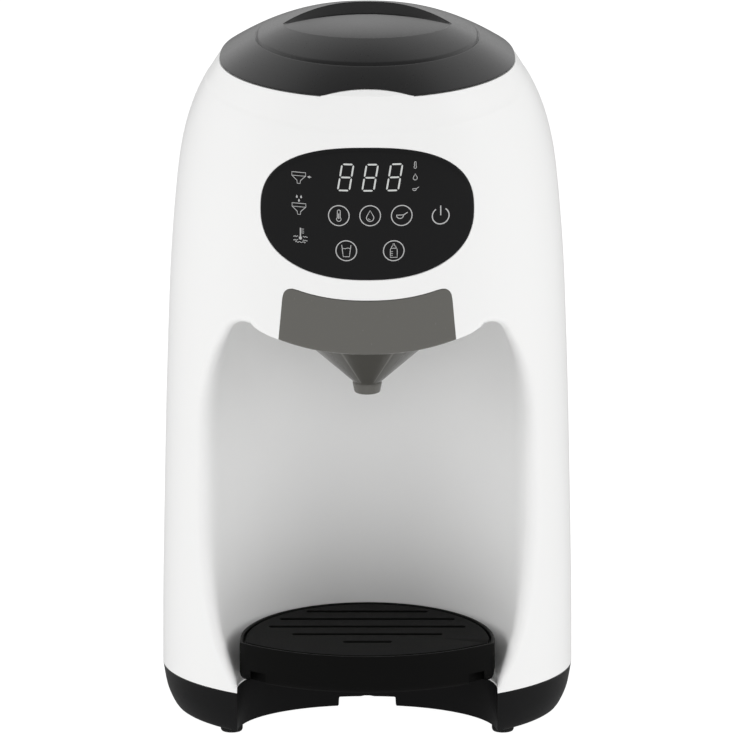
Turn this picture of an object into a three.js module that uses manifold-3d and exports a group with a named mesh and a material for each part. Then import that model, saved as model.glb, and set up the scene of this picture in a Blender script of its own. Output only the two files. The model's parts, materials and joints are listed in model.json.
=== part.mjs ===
// Countertop formula maker with bottle warmer: a round-topped housing with an open
// bottle bay, a slide-out funnel, a drip tray, a powder hopper under the lid and a
// lift-off water tank that forms the back.
// Millimetres, +Z up. The front faces -Y. Z = 0 is the surface the feet stand on.
import * as THREE from 'three';
import { mergeVertices } from 'three/addons/utils/BufferGeometryUtils.js';
import Module from 'manifold-3d';

const wasm = await Module();
wasm.setup();

// ---------------------------------------------------------------- driving dimensions
const GAP = 0.3;              // gap between pieces that touch
const WALL = 2.5;             // housing wall
const Z_BASE = 3;             // underside of the base pan
const Z_JOINT = 22;           // base pan / housing joint
const Z_TOP = 289.2;          // top face of the housing under the lid
const TILT = 0.0144;          // the lid plane leans forward by this slope
const Y_SPLIT = 26;           // front shell / rear shell joint
const Y_DOCK = 66;            // flat back wall that the tank docks against
const HOLE_Y = 1;             // centre of the round mouth, hopper and drive
const MOUTH_R = 56.8;
const FUN_Y = -24;            // funnel and nozzle axis
const BAY_BACK = 18.5;        // back of the bottle bay on the centre line
const BAY_CY = -36;           // where the bay's round back begins
const TRAY_Z0 = 25.8, TRAY_Z1 = 42.5;
const PANEL_Z = 239, PANEL_A = 45.7, PANEL_B = 29.3, PANEL_N = 2.4;
const LID_A = 62.8, LID_F = 62.5, LID_R = 65, LID_N = 2.4;
const LID_CROWN = 311.1, LID_H = 21.0, LID_P = 2.1;
const TANK_TOP = 214;

// half width, front depth, back depth and back roundness of the housing by height
const T_A = [[22, 88], [48, 87.88], [85, 87.27], [112, 86.72], [138, 86.13], [165, 85.31], [183, 84.68], [200, 83.97],
  [218, 82.78], [236, 81.2], [246, 80.05], [254, 78.65], [260, 77.2], [266, 75.4], [271.5, 73.3], [276, 71.2], [280, 69.1],
  [284, 66.9], [287, 64.9], [289.5, 63.2]];
const T_B = [[22, 64.5], [60, 65.3], [100, 66], [180, 67.4], [236, 67.2], [260, 66.2], [270, 65.3], [278, 64.3], [284, 63.5], [289.5, 62.6]];
const T_C = [[22, 112], [200, 110], [225, 106], [240, 101], [253, 94], [265, 85], [278, 74], [284, 69.5], [289.5, 66]];
const T_N = [[22, 2.7], [200, 2.7], [240, 2.6], [265, 2.5], [289.5, 2.4]];
const T_BASE = [[3, 81.6], [3.6, 82.1], [8, 84.6], [12.6, 86.3], [22, 88]];
const T_BAY = [[22, 55], [25.5, 55.6], [30, 57], [48, 62], [65, 63.6], [100, 65], [140, 65], [165, 62.4], [188, 55.2], [194, 53]];
const T_EDGE = [[22, 0.6], [34, 2], [48, 4.2], [70, 7], [100, 9], [150, 9], [168, 6], [180, 3], [188.5, 0.8]];

const lerpTab = (tab, z) => {
  if (z <= tab[0][0]) return tab[0][1];
  for (let i = 1; i < tab.length; i++) {
    if (z <= tab[i][0]) {
      const [z0, v0] = tab[i - 1], [z1, v1] = tab[i];
      return v0 + (v1 - v0) * (z - z0) / (z1 - z0);
    }
  }
  return tab[tab.length - 1][1];
};
const spow = (v, p) => Math.sign(v) * Math.abs(v) ** p;
const clamp01 = (v) => Math.min(1, Math.max(0, v));

// ---------------------------------------------------------------- solids and booleans
function solid(geometry) {
  let g = geometry.clone();
  for (const k of Object.keys(g.attributes)) if (k !== 'position') g.deleteAttribute(k);
  g = mergeVertices(g, 1e-4);
  const pos = g.attributes.position.array, src = g.index.array, tri = [];
  for (let i = 0; i < src.length; i += 3) {
    const [a, b, c] = [src[i], src[i + 1], src[i + 2]];
    if (a !== b && b !== c && a !== c) tri.push(a, b, c);
  }
  let vol = 0;
  for (let i = 0; i < tri.length; i += 3) {
    const [a, b, c] = [tri[i] * 3, tri[i + 1] * 3, tri[i + 2] * 3];
    vol += pos[a] * (pos[b + 1] * pos[c + 2] - pos[b + 2] * pos[c + 1])
      - pos[a + 1] * (pos[b] * pos[c + 2] - pos[b + 2] * pos[c])
      + pos[a + 2] * (pos[b] * pos[c + 1] - pos[b + 1] * pos[c]);
  }
  if (vol < 0) for (let i = 0; i < tri.length; i += 3) [tri[i + 1], tri[i + 2]] = [tri[i + 2], tri[i + 1]];
  return new wasm.Manifold(new wasm.Mesh({ numProp: 3, vertProperties: new Float32Array(pos), triVerts: new Uint32Array(tri) }));
}
const add = (...s) => s.slice(1).reduce((m, t) => m.add(t), s[0]);
const cut = (a, ...s) => s.reduce((m, t) => m.subtract(t), a);
const both = (...s) => s.slice(1).reduce((m, t) => m.intersect(t), s[0]);

function warp(g, fn) {
  const p = g.attributes.position, v = new THREE.Vector3();
  for (let i = 0; i < p.count; i++) { v.fromBufferAttribute(p, i); fn(v); p.setXYZ(i, v.x, v.y, v.z); }
  return g;
}
// solid of revolution about +Z: the profile is [[r, z], ...] from the lower axis point round the outside
function latheG(profile, seg) {
  const g = new THREE.LatheGeometry(profile.map(([r, z]) => new THREE.Vector2(r, z)), seg);
  g.rotateX(Math.PI / 2);
  return g;
}
const lathe = (profile, seg = 24, x = 0, y = 0) => solid(latheG(profile, seg).translate(x, y, 0));
const cyl = (r, z0, z1, x = 0, y = 0, seg = 14) => lathe([[0, z0], [r, z0], [r, z1], [0, z1]], seg, x, y);
const ring = (r0, r1, z0, z1, x = 0, y = 0, seg = 28) => solid(latheG([[r0, z0], [r1, z0], [r1, z1], [r0, z1], [r0, z0]], seg).translate(x, y, 0));
const box = (x0, x1, y0, y1, z0, z1) => solid(new THREE.BoxGeometry(x1 - x0, y1 - y0, z1 - z0).translate((x0 + x1) / 2, (y0 + y1) / 2, (z0 + z1) / 2));
const cylX = (r, x0, x1, y, z, seg = 14) => solid(new THREE.CylinderGeometry(r, r, x1 - x0, seg).rotateZ(Math.PI / 2).translate((x0 + x1) / 2, y, z));
const cylY = (r, y0, y1, x, z, seg = 14) => solid(new THREE.CylinderGeometry(r, r, y1 - y0, seg).translate(x, (y0 + y1) / 2, z));
const shapeOf = (pts) => new THREE.Shape(pts.map(([x, y]) => new THREE.Vector2(x, y)));
// plan outline extruded up between two heights
const prism = (pts, z0, z1) => solid(new THREE.ExtrudeGeometry(shapeOf(pts), { depth: z1 - z0, steps: 1, bevelEnabled: false }).translate(0, 0, z0));
// front-view outline (x, z) extruded along Y between y0 and y1
const prismY = (pts, y0, y1) => solid(new THREE.ExtrudeGeometry(shapeOf(pts), { depth: y1 - y0, steps: 1, bevelEnabled: false }).rotateX(Math.PI / 2).translate(0, y1, 0));
// tube along a curve
function tube(points, r, steps, sides = 8) {
  const curve = new THREE.CatmullRomCurve3(points.map((p) => new THREE.Vector3(...p)));
  const sec = [];
  for (let i = 0; i < sides; i++) sec.push([r * Math.cos(i * 2 * Math.PI / sides), r * Math.sin(i * 2 * Math.PI / sides)]);
  return solid(new THREE.ExtrudeGeometry(shapeOf(sec), { steps, bevelEnabled: false, extrudePath: curve }));
}

// ---------------------------------------------------------------- housing surface
function onBody(v, inset, a, b, c, n) {
  const r = Math.hypot(v.x, v.y);
  if (r < 1e-9) { v.x = 0; v.y = 0; return; }
  const cs = v.x / r, sn = v.y / r;
  if (sn > 0) { v.x = r * (a - inset) * spow(cs, 2 / n); v.y = r * (c - inset) * spow(sn, 2 / n); }
  else { v.x = r * (a - inset) * cs; v.y = r * (b - inset) * sn; }
}
const lean = (v, z) => { v.z += TILT * v.y * clamp01((z - 250) / 39); };
const Z_RINGS = [120, 190, 225, 246, 260, 271, 280];
function body(z0, z1, inset = 0, seg = 36) {
  const zs = [z0, ...Z_RINGS.filter((z) => z > z0 + 2 && z < z1 - 2), z1];
  const g = latheG([[0, z0], ...zs.map((z) => [1, z]), [0, z1]], seg);
  return solid(warp(g, (v) => {
    const z = v.z;
    onBody(v, inset, lerpTab(T_A, z), lerpTab(T_B, z), lerpTab(T_C, z), lerpTab(T_N, z));
    lean(v, z);
  }));
}
function baseBody(z0, z1, inset = 0, seg = 36) {
  const zs = [z0, ...[5.2, 9].filter((z) => z > z0 + 0.5 && z < z1 - 0.5), z1];
  const g = latheG([[0, z0], ...zs.map((z) => [1, z]), [0, z1]], seg);
  return solid(warp(g, (v) => {
    const a = lerpTab(T_BASE, v.z), k = a / 88;
    onBody(v, inset, a, 64.5 * k, 112 * k, 2.7);
  }));
}
// the bay's ceiling follows the arched lower edge of the head
const headEdge = (x) => 178.3 + 10.3 * (x / 55) ** 2;

// bottle bay: straight cheeks, round back, cheeks that bulge outwards at mid height
function bay(grow, z0) {
  const zTop = 189, pts = [[-1, -130], [-1, BAY_CY]];
  for (let i = 1; i < 12; i++) { const t = Math.PI - i * Math.PI / 12; pts.push([Math.cos(t), BAY_CY + (BAY_BACK - BAY_CY) * Math.sin(t)]); }
  pts.push([1, BAY_CY], [1, -130]);
  const zs = [z0, 34, 60, 140, 162, 177, zTop], steps = zs.length - 1;
  // the top edge is divided so that the ceiling can arch
  for (let i = 2; i > -3; i--) pts.push([i / 3, -130]);
  const g = new THREE.ExtrudeGeometry(shapeOf(pts), { depth: steps, steps, bevelEnabled: false });
  return solid(warp(g, (v) => {
    const z = zs[Math.round(v.z)], w = lerpTab(T_BAY, z) + grow;
    if (v.y > BAY_CY) v.y = BAY_CY + (v.y - BAY_CY) * (1 + grow / (BAY_BACK - BAY_CY));
    v.x *= w;
    const s = clamp01((z - 150) / 39), top = headEdge(v.x) + grow;
    v.z = z - (zTop - top) * s * s * (3 - 2 * s);
  }));
}
// cutter that rounds the edge between a bay cheek and the housing, +x side; grown, it backs that edge with a wall
function edgeCutter(grow = 0) {
  const zs = [20, 34, 60, 100, 150, 172, 188.5], steps = zs.length - 1, hex = [];
  for (let i = 0; i < 6; i++) hex.push([Math.cos(i * Math.PI / 3), Math.sin(i * Math.PI / 3)]);
  const g = new THREE.ExtrudeGeometry(shapeOf(hex), { depth: steps, steps, bevelEnabled: false });
  return solid(warp(g, (v) => {
    const i = (Math.round(Math.atan2(v.y, v.x) / (Math.PI / 3)) + 6) % 6, z = zs[Math.round(v.z)];
    const w = lerpTab(T_BAY, z), f = lerpTab(T_EDGE, z), A = lerpTab(T_A, z), B = lerpTab(T_B, z);
    const front = (x) => -B * Math.sqrt(Math.max(0, 1 - (x / A) ** 2));
    const p1 = [w - 0.2, front(w) + f + grow * 1.6], p2 = [w + f * 1.05 + grow * 1.6, front(w + f * 1.05 + grow * 1.6) - 0.2];
    const m = [(w + w + f * 1.05) / 2 - 0.2 * f + grow * 0.7, (front(w) + f + front(w + f * 1.05)) / 2 - 0.2 * f + grow * 0.7];
    const q = [p1, m, p2, [p2[0] + 2, p2[1] - 5], [w - 2, front(w) - 6], [w - 5, p1[1]]][i];
    v.set(q[0], q[1], z);
  }));
}
const mirrorX = (m) => m.mirror([1, 0, 0]);

// arch under the bay: concave front wall of the base
function archOutline(e) {
  const pts = [[-55.7 - e, -130], [-55.7 - e, -48]];
  for (let i = 1; i < 14; i++) { const t = Math.PI - i * Math.PI / 14; pts.push([(55.7 + e) * Math.cos(t), -44 + (38.5 + e) * Math.sin(t)]); }
  pts.push([55.7 + e, -48], [55.7 + e, -130]);
  return pts;
}
// front-view outlines
function superellipse(a, b, n, cx, cz, seg = 24) {
  const pts = [];
  for (let i = 0; i < seg; i++) { const t = i * 2 * Math.PI / seg; pts.push([cx + a * spow(Math.cos(t), 2 / n), cz + b * spow(Math.sin(t), 2 / n)]); }
  return pts;
}
function plateOutline(e, drop = 0) {
  const pts = [];
  for (let i = -4; i <= 4; i++) { const x = 38.6 * i / 4; pts.push([x * (1 + e / 38.6), headEdge(x) - e - drop]); }
  if (drop) pts.push([38.6 + e, headEdge(38.6) - e]);
  pts.push([35.7 + e, 202], [34.8 + e, 205], [32.4 + e * 0.7, 206.7 + e * 0.7]);
  for (let i = 4; i >= -4; i--) { const x = 29.5 * i / 4; pts.push([x, 201.2 + 5.3 * (x / 29.5) ** 2 + e]); }
  pts.push([-32.4 - e * 0.7, 206.7 + e * 0.7], [-34.8 - e, 205], [-35.7 - e, 202]);
  if (drop) pts.push([-38.6 - e, headEdge(38.6) - e]);
  return pts;
}
// plan outline of the funnel bowl
function bowlOutline(e) {
  const pts = [[-31 - e, -130], [-31 - e, FUN_Y]];
  for (let i = 1; i < 12; i++) { const t = Math.PI - i * Math.PI / 12; pts.push([(31 + e) * Math.cos(t), FUN_Y + (31 + e) * Math.sin(t)]); }
  pts.push([31 + e, FUN_Y], [31 + e, -130]);
  return pts;
}
// plan outline of the drip tray, inset by e
function trayOutline(e) {
  const pts = [], R = 54.3 - e, yb = 17.6 - BAY_CY - e;
  for (let i = 0; i <= 18; i++) { const t = i * Math.PI / 18; pts.push([R * Math.cos(t), BAY_CY + yb * Math.sin(t)]); }
  const Rf = 82.4 - e, a = Math.asin(R / Rf);
  for (let i = 0; i <= 10; i++) { const t = -a + 2 * a * i / 10; pts.push([Rf * Math.sin(t), 19.8 - Rf * Math.cos(t)]); }
  return pts;
}

// ---------------------------------------------------------------- lid surface
const lidTop = (rho) => LID_CROWN - LID_H * rho ** LID_P;
function lidSolid(z0, drop, rhoMax = 1, zMax = 1e9) {
  const rs = [1, 0.88, 0.7, 0.48, 0.24].map((r) => r * rhoMax);
  const g = latheG([[0, z0], [rhoMax, z0], ...rs.map((r) => [r, Math.min(zMax, lidTop(r) - drop)]), [0, Math.min(zMax, LID_CROWN - drop)]], 36);
  return solid(warp(g, (v) => {
    const r = Math.hypot(v.x, v.y);
    if (r > 1e-9) {
      const cs = v.x / r, sn = v.y / r;
      v.x = sn > 0 ? r * LID_A * spow(cs, 2 / LID_N) : r * LID_A * cs;
      v.y = sn > 0 ? r * LID_R * spow(sn, 2 / LID_N) : r * LID_F * sn;
    }
    v.z += TILT * v.y;
  }));
}
// the lid's front finger notch, filled by a tongue of the front shell
function notchOutline(e) {
  const pts = [[-20 - e, 280], [20 + e, 280]];
  for (let i = 5; i >= -5; i--) { const x = (20 + e) * i / 5; pts.push([x, 288.6 + (3.1 + e) * (1 - (i / 5) ** 2)]); }
  return pts;
}
const tongueZone = (e) => prismY(notchOutline(e), -80, -56.9 + (e < 0 ? -0.4 : 0));

// ---------------------------------------------------------------- pieces
const nodes = [];
const MAT = {
  white: new THREE.MeshStandardMaterial({ color: 0xeeeeec, roughness: 0.35, metalness: 0 }),
  black: new THREE.MeshStandardMaterial({ color: 0x1b1b1b, roughness: 0.4, metalness: 0 }),
  lid: new THREE.MeshStandardMaterial({ color: 0x3a3a3a, roughness: 0.45, metalness: 0 }),
  tray: new THREE.MeshStandardMaterial({ color: 0x1a1a18, roughness: 0.5, metalness: 0 }),
  glass: new THREE.MeshStandardMaterial({ color: 0x1e1e1e, roughness: 0.08, metalness: 0 }),
  funnel: new THREE.MeshStandardMaterial({ color: 0x686762, roughness: 0.3, metalness: 0 }),
  smoke: new THREE.MeshStandardMaterial({ color: 0x9aa0a4, roughness: 0.15, metalness: 0 }),
  clear: new THREE.MeshStandardMaterial({ color: 0xd8dcde, roughness: 0.15, metalness: 0 }),
  rubber: new THREE.MeshStandardMaterial({ color: 0x141414, roughness: 0.8, metalness: 0 }),
  silicone: new THREE.MeshStandardMaterial({ color: 0xd9d9d2, roughness: 0.6, metalness: 0 }),
  steel: new THREE.MeshStandardMaterial({ color: 0xb9bcc0, roughness: 0.3, metalness: 1 }),
  board: new THREE.MeshStandardMaterial({ color: 0x1f5a36, roughness: 0.5, metalness: 0 }),
  inner: new THREE.MeshStandardMaterial({ color: 0xc9c9c4, roughness: 0.6, metalness: 0 }),
  alloy: new THREE.MeshStandardMaterial({ color: 0xa8abae, roughness: 0.4, metalness: 1 }),
};
function node(name, s, material) {
  const mesh = s.getMesh(), g = new THREE.BufferGeometry();
  const n = mesh.vertProperties.length / mesh.numProp, pos = new Float32Array(n * 3);
  for (let i = 0; i < n; i++) for (let k = 0; k < 3; k++) pos[i * 3 + k] = mesh.vertProperties[i * mesh.numProp + k];
  g.setAttribute('position', new THREE.BufferAttribute(pos, 3));
  g.setIndex(new THREE.BufferAttribute(new Uint32Array(mesh.triVerts), 1));
  const m = new THREE.Mesh(g, material);
  m.name = name;
  nodes.push(m);
}

const BASE_SCREWS = [[-74, 4], [74, 4], [-66, 50], [66, 50]];
const DECK_SCREWS = [[-45, -34], [45, -34], [-44, -8], [44, -8]];
const MOTOR_SCREWS = [[-13, 21], [13, 21]];

// housing shells
const outer = body(Z_JOINT + GAP, Z_TOP);
const skin = cut(outer, body(Z_JOINT - 3, Z_TOP - WALL, WALL), cyl(MOUTH_R, Z_TOP - 8, Z_TOP + 6, 0, HOLE_Y, 36));
const archCut = prism(archOutline(0), -2, 26);
{
  const frontHalf = box(-100, 100, -100, Y_SPLIT, 0, 320);
  let s = both(skin, frontHalf);
  s = add(s, both(outer, bay(WALL, Z_JOINT - 1)));
  // ledge behind the touch panel
  const ledge = both(cut(body(150, 280, WALL - 0.2), body(149, 281, WALL + 2)), prismY(superellipse(PANEL_A + 3.5, PANEL_B + 3.5, PANEL_N, 0, PANEL_Z), -90, -30));
  s = add(s, ledge);
  // screw bosses: two stand on the base joint, four carry the deck
  for (const [x, y] of BASE_SCREWS.slice(0, 2)) {
    const sx = Math.sign(x);
    s = add(s, cyl(4.6, Z_JOINT + GAP, 36, x, y, 10), both(box(Math.min(x, sx * 90), Math.max(x, sx * 90), y - 1.2, y + 1.2, Z_JOINT + GAP, 36), outer));
  }
  for (const [x, y] of DECK_SCREWS) s = add(s, cyl(3.8, headEdge(x) + 0.6, 203.1, x, y, 10));
  s = add(s, both(outer, add(edgeCutter(WALL), mirrorX(edgeCutter(WALL)))));
  s = cut(s, bay(0, 25.5), archCut, edgeCutter(), mirrorX(edgeCutter()));
  // touch panel window: pocket for the glass, smaller hole through the ledge
  s = cut(s, cut(prismY(superellipse(PANEL_A + 0.25, PANEL_B + 0.25, PANEL_N, 0, PANEL_Z), -90, -30), body(140, 285, WALL)));
  s = cut(s, prismY(superellipse(PANEL_A - 4, PANEL_B - 4, PANEL_N, 0, PANEL_Z), -90, -40));
  // funnel opening in the front wall and slot in the bay's ceiling
  s = cut(s, prismY(plateOutline(0.35, 14), -90, -40), prism(bowlOutline(0.6), 168, 196));
  for (const [x, y] of BASE_SCREWS.slice(0, 2)) s = cut(s, cyl(1.8, 10, 35, x, y, 8));
  for (const [x, y] of DECK_SCREWS) s = cut(s, cyl(1.8, 192, 210, x, y, 8));
  // tongue that fills the lid's finger notch
  s = add(s, both(lidSolid(286.4, 0), tongueZone(-0.4)));
  node('front_shell', s, MAT.white);
}
{
  const rearHalf = box(-100, 100, Y_SPLIT + GAP, Y_DOCK, 0, 320);
  let s = both(skin, rearHalf);
  const wallCut = cyl(MOUTH_R, Z_TOP - 8, Z_TOP + 6, 0, HOLE_Y, 36);
  s = add(s, cut(both(outer, box(-100, 100, Y_DOCK - WALL, Y_DOCK, 0, 320)), wallCut));
  for (const [x, y] of BASE_SCREWS.slice(2)) {
    const sx = Math.sign(x);
    s = add(s, cyl(4.6, Z_JOINT + GAP, 36, x, y, 10), both(box(Math.min(x, sx * 90), Math.max(x, sx * 90), y - 1.2, y + 1.2, Z_JOINT + GAP, 36), outer));
    s = cut(s, cyl(1.8, 10, 35, x, y, 8));
  }
  node('rear_shell', s, MAT.white);
}

// base pan
{
  const full = baseBody(Z_BASE, Z_JOINT);
  let s = cut(full, baseBody(Z_BASE + WALL, Z_JOINT + 1, WALL));
  s = add(s, both(full, prism(archOutline(WALL), Z_BASE, Z_JOINT)));
  s = add(s, both(full, box(-100, 100, Y_DOCK - 3, 130, Z_JOINT - WALL, Z_JOINT)));
  s = add(s, both(full, box(-15, 15, -8, 24, Z_BASE, 9.6)));
  for (const [x, y] of BASE_SCREWS) s = add(s, cyl(5.4, Z_BASE + 1, Z_JOINT - 0.3, x, y, 10));
  s = cut(s, archCut, box(-12, 12, -20, 21, 1, 7), cylY(2.6, -20, 21, 0, 7, 12));
  for (const [x, y] of BASE_SCREWS) s = cut(s, cyl(1.8, 0, 24, x, y, 8), cyl(3.6, 0, 6, x, y, 10));
  // tank socket and mains inlet openings
  s = cut(s, cyl(10, 18, 24, 0, 88, 24), box(-11.3, 11.3, 94, 116, 6.2, 18.3));
  for (const [x, y] of [[-58.2, -31], [58.2, -31], [-50, 82], [50, 82]]) s = cut(s, cyl(2.3, 0, 8, x, y, 8));
  node('base_pan', s, MAT.black);
}
const FEET = { foot_front_left: [-58.2, -31], foot_front_right: [58.2, -31], foot_rear_left: [-50, 82], foot_rear_right: [50, 82] };
for (const [name, [x, y]] of Object.entries(FEET)) {
  node(name, lathe([[0, 0], [4.75, 0], [4.75, Z_BASE - GAP], [2, Z_BASE - GAP], [2, 7.2], [0, 7.2]], 12, x, y), MAT.rubber);
}
BASE_SCREWS.forEach(([x, y], i) => node('base_screw_' + (i + 1), lathe([[0, 3.6], [3.2, 3.6], [3.2, 5.7], [1.5, 5.7], [1.5, 34], [0, 34]], 8, x, y), MAT.steel));

// touch panel, light guide and display board
{
  const layer = cut(body(190, 286, 0), body(189, 287, WALL - GAP));
  node('touch_panel', both(layer, prismY(superellipse(PANEL_A, PANEL_B, PANEL_N, 0, PANEL_Z), -90, -30)), MAT.glass);
  node('light_guide', both(body(200, 280, WALL + 0.3), box(-27, 27, -80, -56, 221, 257)), MAT.silicone);
  let b = add(box(-29, 29, -55.2, -53.6, 217, 261), box(-12, 12, -53.7, -51.6, 224, 236), box(-26, -17, -53.7, -50.8, 240, 252));
  node('display_board', b, MAT.board);
}

// funnel: front plate, bowl, cone and nozzle
{
  const plate = both(cut(body(150, 225, 0), body(149, 226, 3)), prismY(plateOutline(0), -90, -30));
  const slope = 1.1, zNeck = 156.5;
  const cone = (d, r0, zTip, dz) => lathe([[0, zTip], [d ? r0 : 5.6, zTip], [r0, zNeck + dz], [r0 + slope * (206 - zNeck - dz), 206], [0, 206]], 28, 0, FUN_Y);
  let s = both(cone(0, 6.4, 148.6, 0), prism(bowlOutline(0), 140, 199.5), body(149, 226, 0.8));
  s = add(s, plate, box(-34, -29.5, -48, 4, 196, 198), box(29.5, 34, -48, 4, 196, 198));
  s = cut(s, both(cone(1, 4, 147, 2.6), prism(bowlOutline(-2), 140, 207), body(149, 226, 3.4)));
  s = cut(s, cyl(4, 140, 162, 0, FUN_Y, 28));
  node('funnel', s, MAT.funnel);
}
{
  let s = box(-39.5, 39.5, -48, 12, 193.5, 203);
  s = cut(s, prism(bowlOutline(0.7), 190, 206), box(-34.4, 34.4, -60, 4.5, 195.6, 198.4));
  node('funnel_guide', s, MAT.inner);
}

// deck that carries the chute, the motor and the spout
{
  let s = prism([[-36, -52], [36, -52], [60, -38], [78, 0], [75, 48], [-75, 48], [-78, 0], [-60, -38]], 203.4, 206.4);
  s = cut(s, cyl(11.6, 200, 210, 0, FUN_Y, 20), cyl(4.4, 200, 210, -21, -16, 10));
  for (const [x, y] of [...DECK_SCREWS, ...MOTOR_SCREWS]) s = cut(s, cyl(1.8, 200, 210, x, y, 8));
  node('head_deck', s, MAT.inner);
}
DECK_SCREWS.forEach(([x, y], i) => node('deck_screw_' + (i + 1), lathe([[0, 194], [1.5, 194], [1.5, 206.7], [3, 206.7], [3, 208.6], [0, 208.6]], 8, x, y), MAT.steel));
node('powder_chute', solid(latheG([[8.5, 200.4], [11, 200.4], [11, 206.7], [15.5, 206.7], [15.5, 209], [11, 209], [11, 235.2], [8.5, 235.2], [8.5, 200.4]], 16).translate(0, FUN_Y, 0)), MAT.inner);
node('water_spout', solid(latheG([[2, 200.5], [3.8, 200.5], [3.8, 206.7], [6, 206.7], [6, 208.5], [3.4, 208.5], [3.4, 214.2], [2, 214.2], [2, 200.5]], 10).translate(-21, -16, 0)), MAT.silicone);

// dosing drive
{
  let s = add(box(-18, 18, -7, 26, 206.7, 221), cylX(10.5, 17, 46, 10, 217.6, 20), cyl(6, 220, 222.6, 0, HOLE_Y, 20));
  s = cut(s, cyl(3.4, 214, 224, 0, HOLE_Y, 12));
  for (const [x, y] of MOTOR_SCREWS) s = cut(s, cyl(1.8, 200, 226, x, y, 8));
  node('gear_motor', s, MAT.alloy);
}
MOTOR_SCREWS.forEach(([x, y], i) => node('motor_screw_' + (i + 1), lathe([[0, 203.8], [1.5, 203.8], [1.5, 221.3], [3, 221.3], [3, 223], [0, 223]], 8, x, y), MAT.steel));
node('drive_coupler', add(lathe([[0, 214.4], [3, 214.4], [3, 223.2], [8, 223.2], [8, 228.6], [0, 228.6]], 16, 0, HOLE_Y), both(box(-4.8, 4.8, HOLE_Y - 1.2, HOLE_Y + 1.2, 228, 232.8), cyl(5.6, 220, 240, 0, HOLE_Y, 20))), MAT.black);

// powder hopper with its dosing wheel
node('hopper_seat', ring(50.7, 58.3, 280.4, 283.4, 0, HOLE_Y, 32), MAT.inner);
{
  let s = lathe([[0, 236], [50, 236], [50, 283.8], [55.6, 283.8], [55.6, 286.2], [48, 286.2], [48, 238.5], [0, 238.5]], 32, 0, HOLE_Y);
  s = cut(s, cyl(7.5, 230, 242, 0, FUN_Y, 14), cyl(6.8, 230, 242, 0, HOLE_Y, 14));
  node('powder_hopper', s, MAT.clear);
}
{
  let s = lathe([[0, 229.4], [6, 229.4], [6, 239], [46.5, 239], [46.5, 246], [8, 246], [8, 252], [0, 252]], 24, 0, HOLE_Y);
  for (let i = 0; i < 6; i++) { const t = Math.PI / 3 * i + Math.PI / 6; s = cut(s, cyl(7, 238, 248, 25 * Math.cos(t), HOLE_Y + 25 * Math.sin(t), 8)); }
  s = cut(s, box(-9, 9, HOLE_Y - 1.6, HOLE_Y + 1.6, 228, 233.4));
  node('dosing_wheel', s, MAT.inner);
}
node('stirrer', add(cyl(4, 252.3, 274, 0, HOLE_Y, 16), box(-42, 42, HOLE_Y - 1.5, HOLE_Y + 1.5, 254.5, 257.5), box(-1.5, 1.5, HOLE_Y - 34, HOLE_Y + 34, 263, 266), box(39.5, 42, HOLE_Y - 1.5, HOLE_Y + 1.5, 254.5, 270)), MAT.inner);
node('wiper_plate', both(add(box(-15, 15, -45.8, -10.2, 246.6, 248.2), box(-15, -12.6, -45.8, -38, 246.6, 252), box(12.6, 15, -45.8, -38, 246.6, 252)), cyl(47.4, 240, 260, 0, HOLE_Y, 36)), MAT.inner);

// lid
{
  let s = cut(lidSolid(Z_TOP + 0.5, 0), lidSolid(280, 2.6, 0.9, 301.6));
  // lens-shaped finger recess with a steep back wall
  const lens = [];
  for (let i = 0; i <= 12; i++) { const t = Math.PI + 0.18 + (Math.PI - 0.36) * i / 12; lens.push([36.4 * Math.cos(t), 6.4 + 36.4 * Math.sin(t)]); }
  for (let i = 1; i < 12; i++) { const x = 35.8 - 71.6 * i / 12; lens.push([x, 18 - 18.1 * (x / 35.8) ** 2]); }
  s = cut(s, prism(lens, 304.6, 330), tongueZone(0.1));
  node('lid_shell', s, MAT.lid);
  node('lid_liner', lathe([[0, 288.4], [44.6, 288.4], [44.6, 280.8], [45.6, 280.8], [45.6, 288.4], [53.6, 288.4], [53.6, 286.9], [55.9, 286.9], [55.9, 291], [0, 291]], 24, 0, HOLE_Y - 0.4), MAT.inner);
  node('lid_seal', ring(46, 47.4, 281.2, 284.2, 0, HOLE_Y - 0.2, 24), MAT.silicone);
}

// drip tray and its cover
{
  let s = prism(trayOutline(0), TRAY_Z0, TRAY_Z1);
  s = cut(s, prism(trayOutline(1.5), 40.1, TRAY_Z1 + 2), prism(trayOutline(5), 28.6, TRAY_Z1));
  for (const sx of [-1, 1]) s = cut(s, cut(box(Math.min(sx * 43.5, sx * 50), Math.max(sx * 43.5, sx * 50), -70, -30, 20, 31), prism(trayOutline(4), 10, 50)));
  node('drip_tray', s, MAT.tray);
  let g = prism(trayOutline(1.9), 40.4, 42.3);
  for (const [y, L] of [[-40, 9.3], [-29, 31], [-18, 41], [-7, 36.5], [4, 25]]) {
    const slot = add(box(-L, L, y - 1.1, y + 1.1, 39, 44), cyl(1.1, 39, 44, -L, y, 6), cyl(1.1, 39, 44, L, y, 6));
    g = cut(g, slot);
  }
  node('drip_grille', g, MAT.tray);
}

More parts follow.
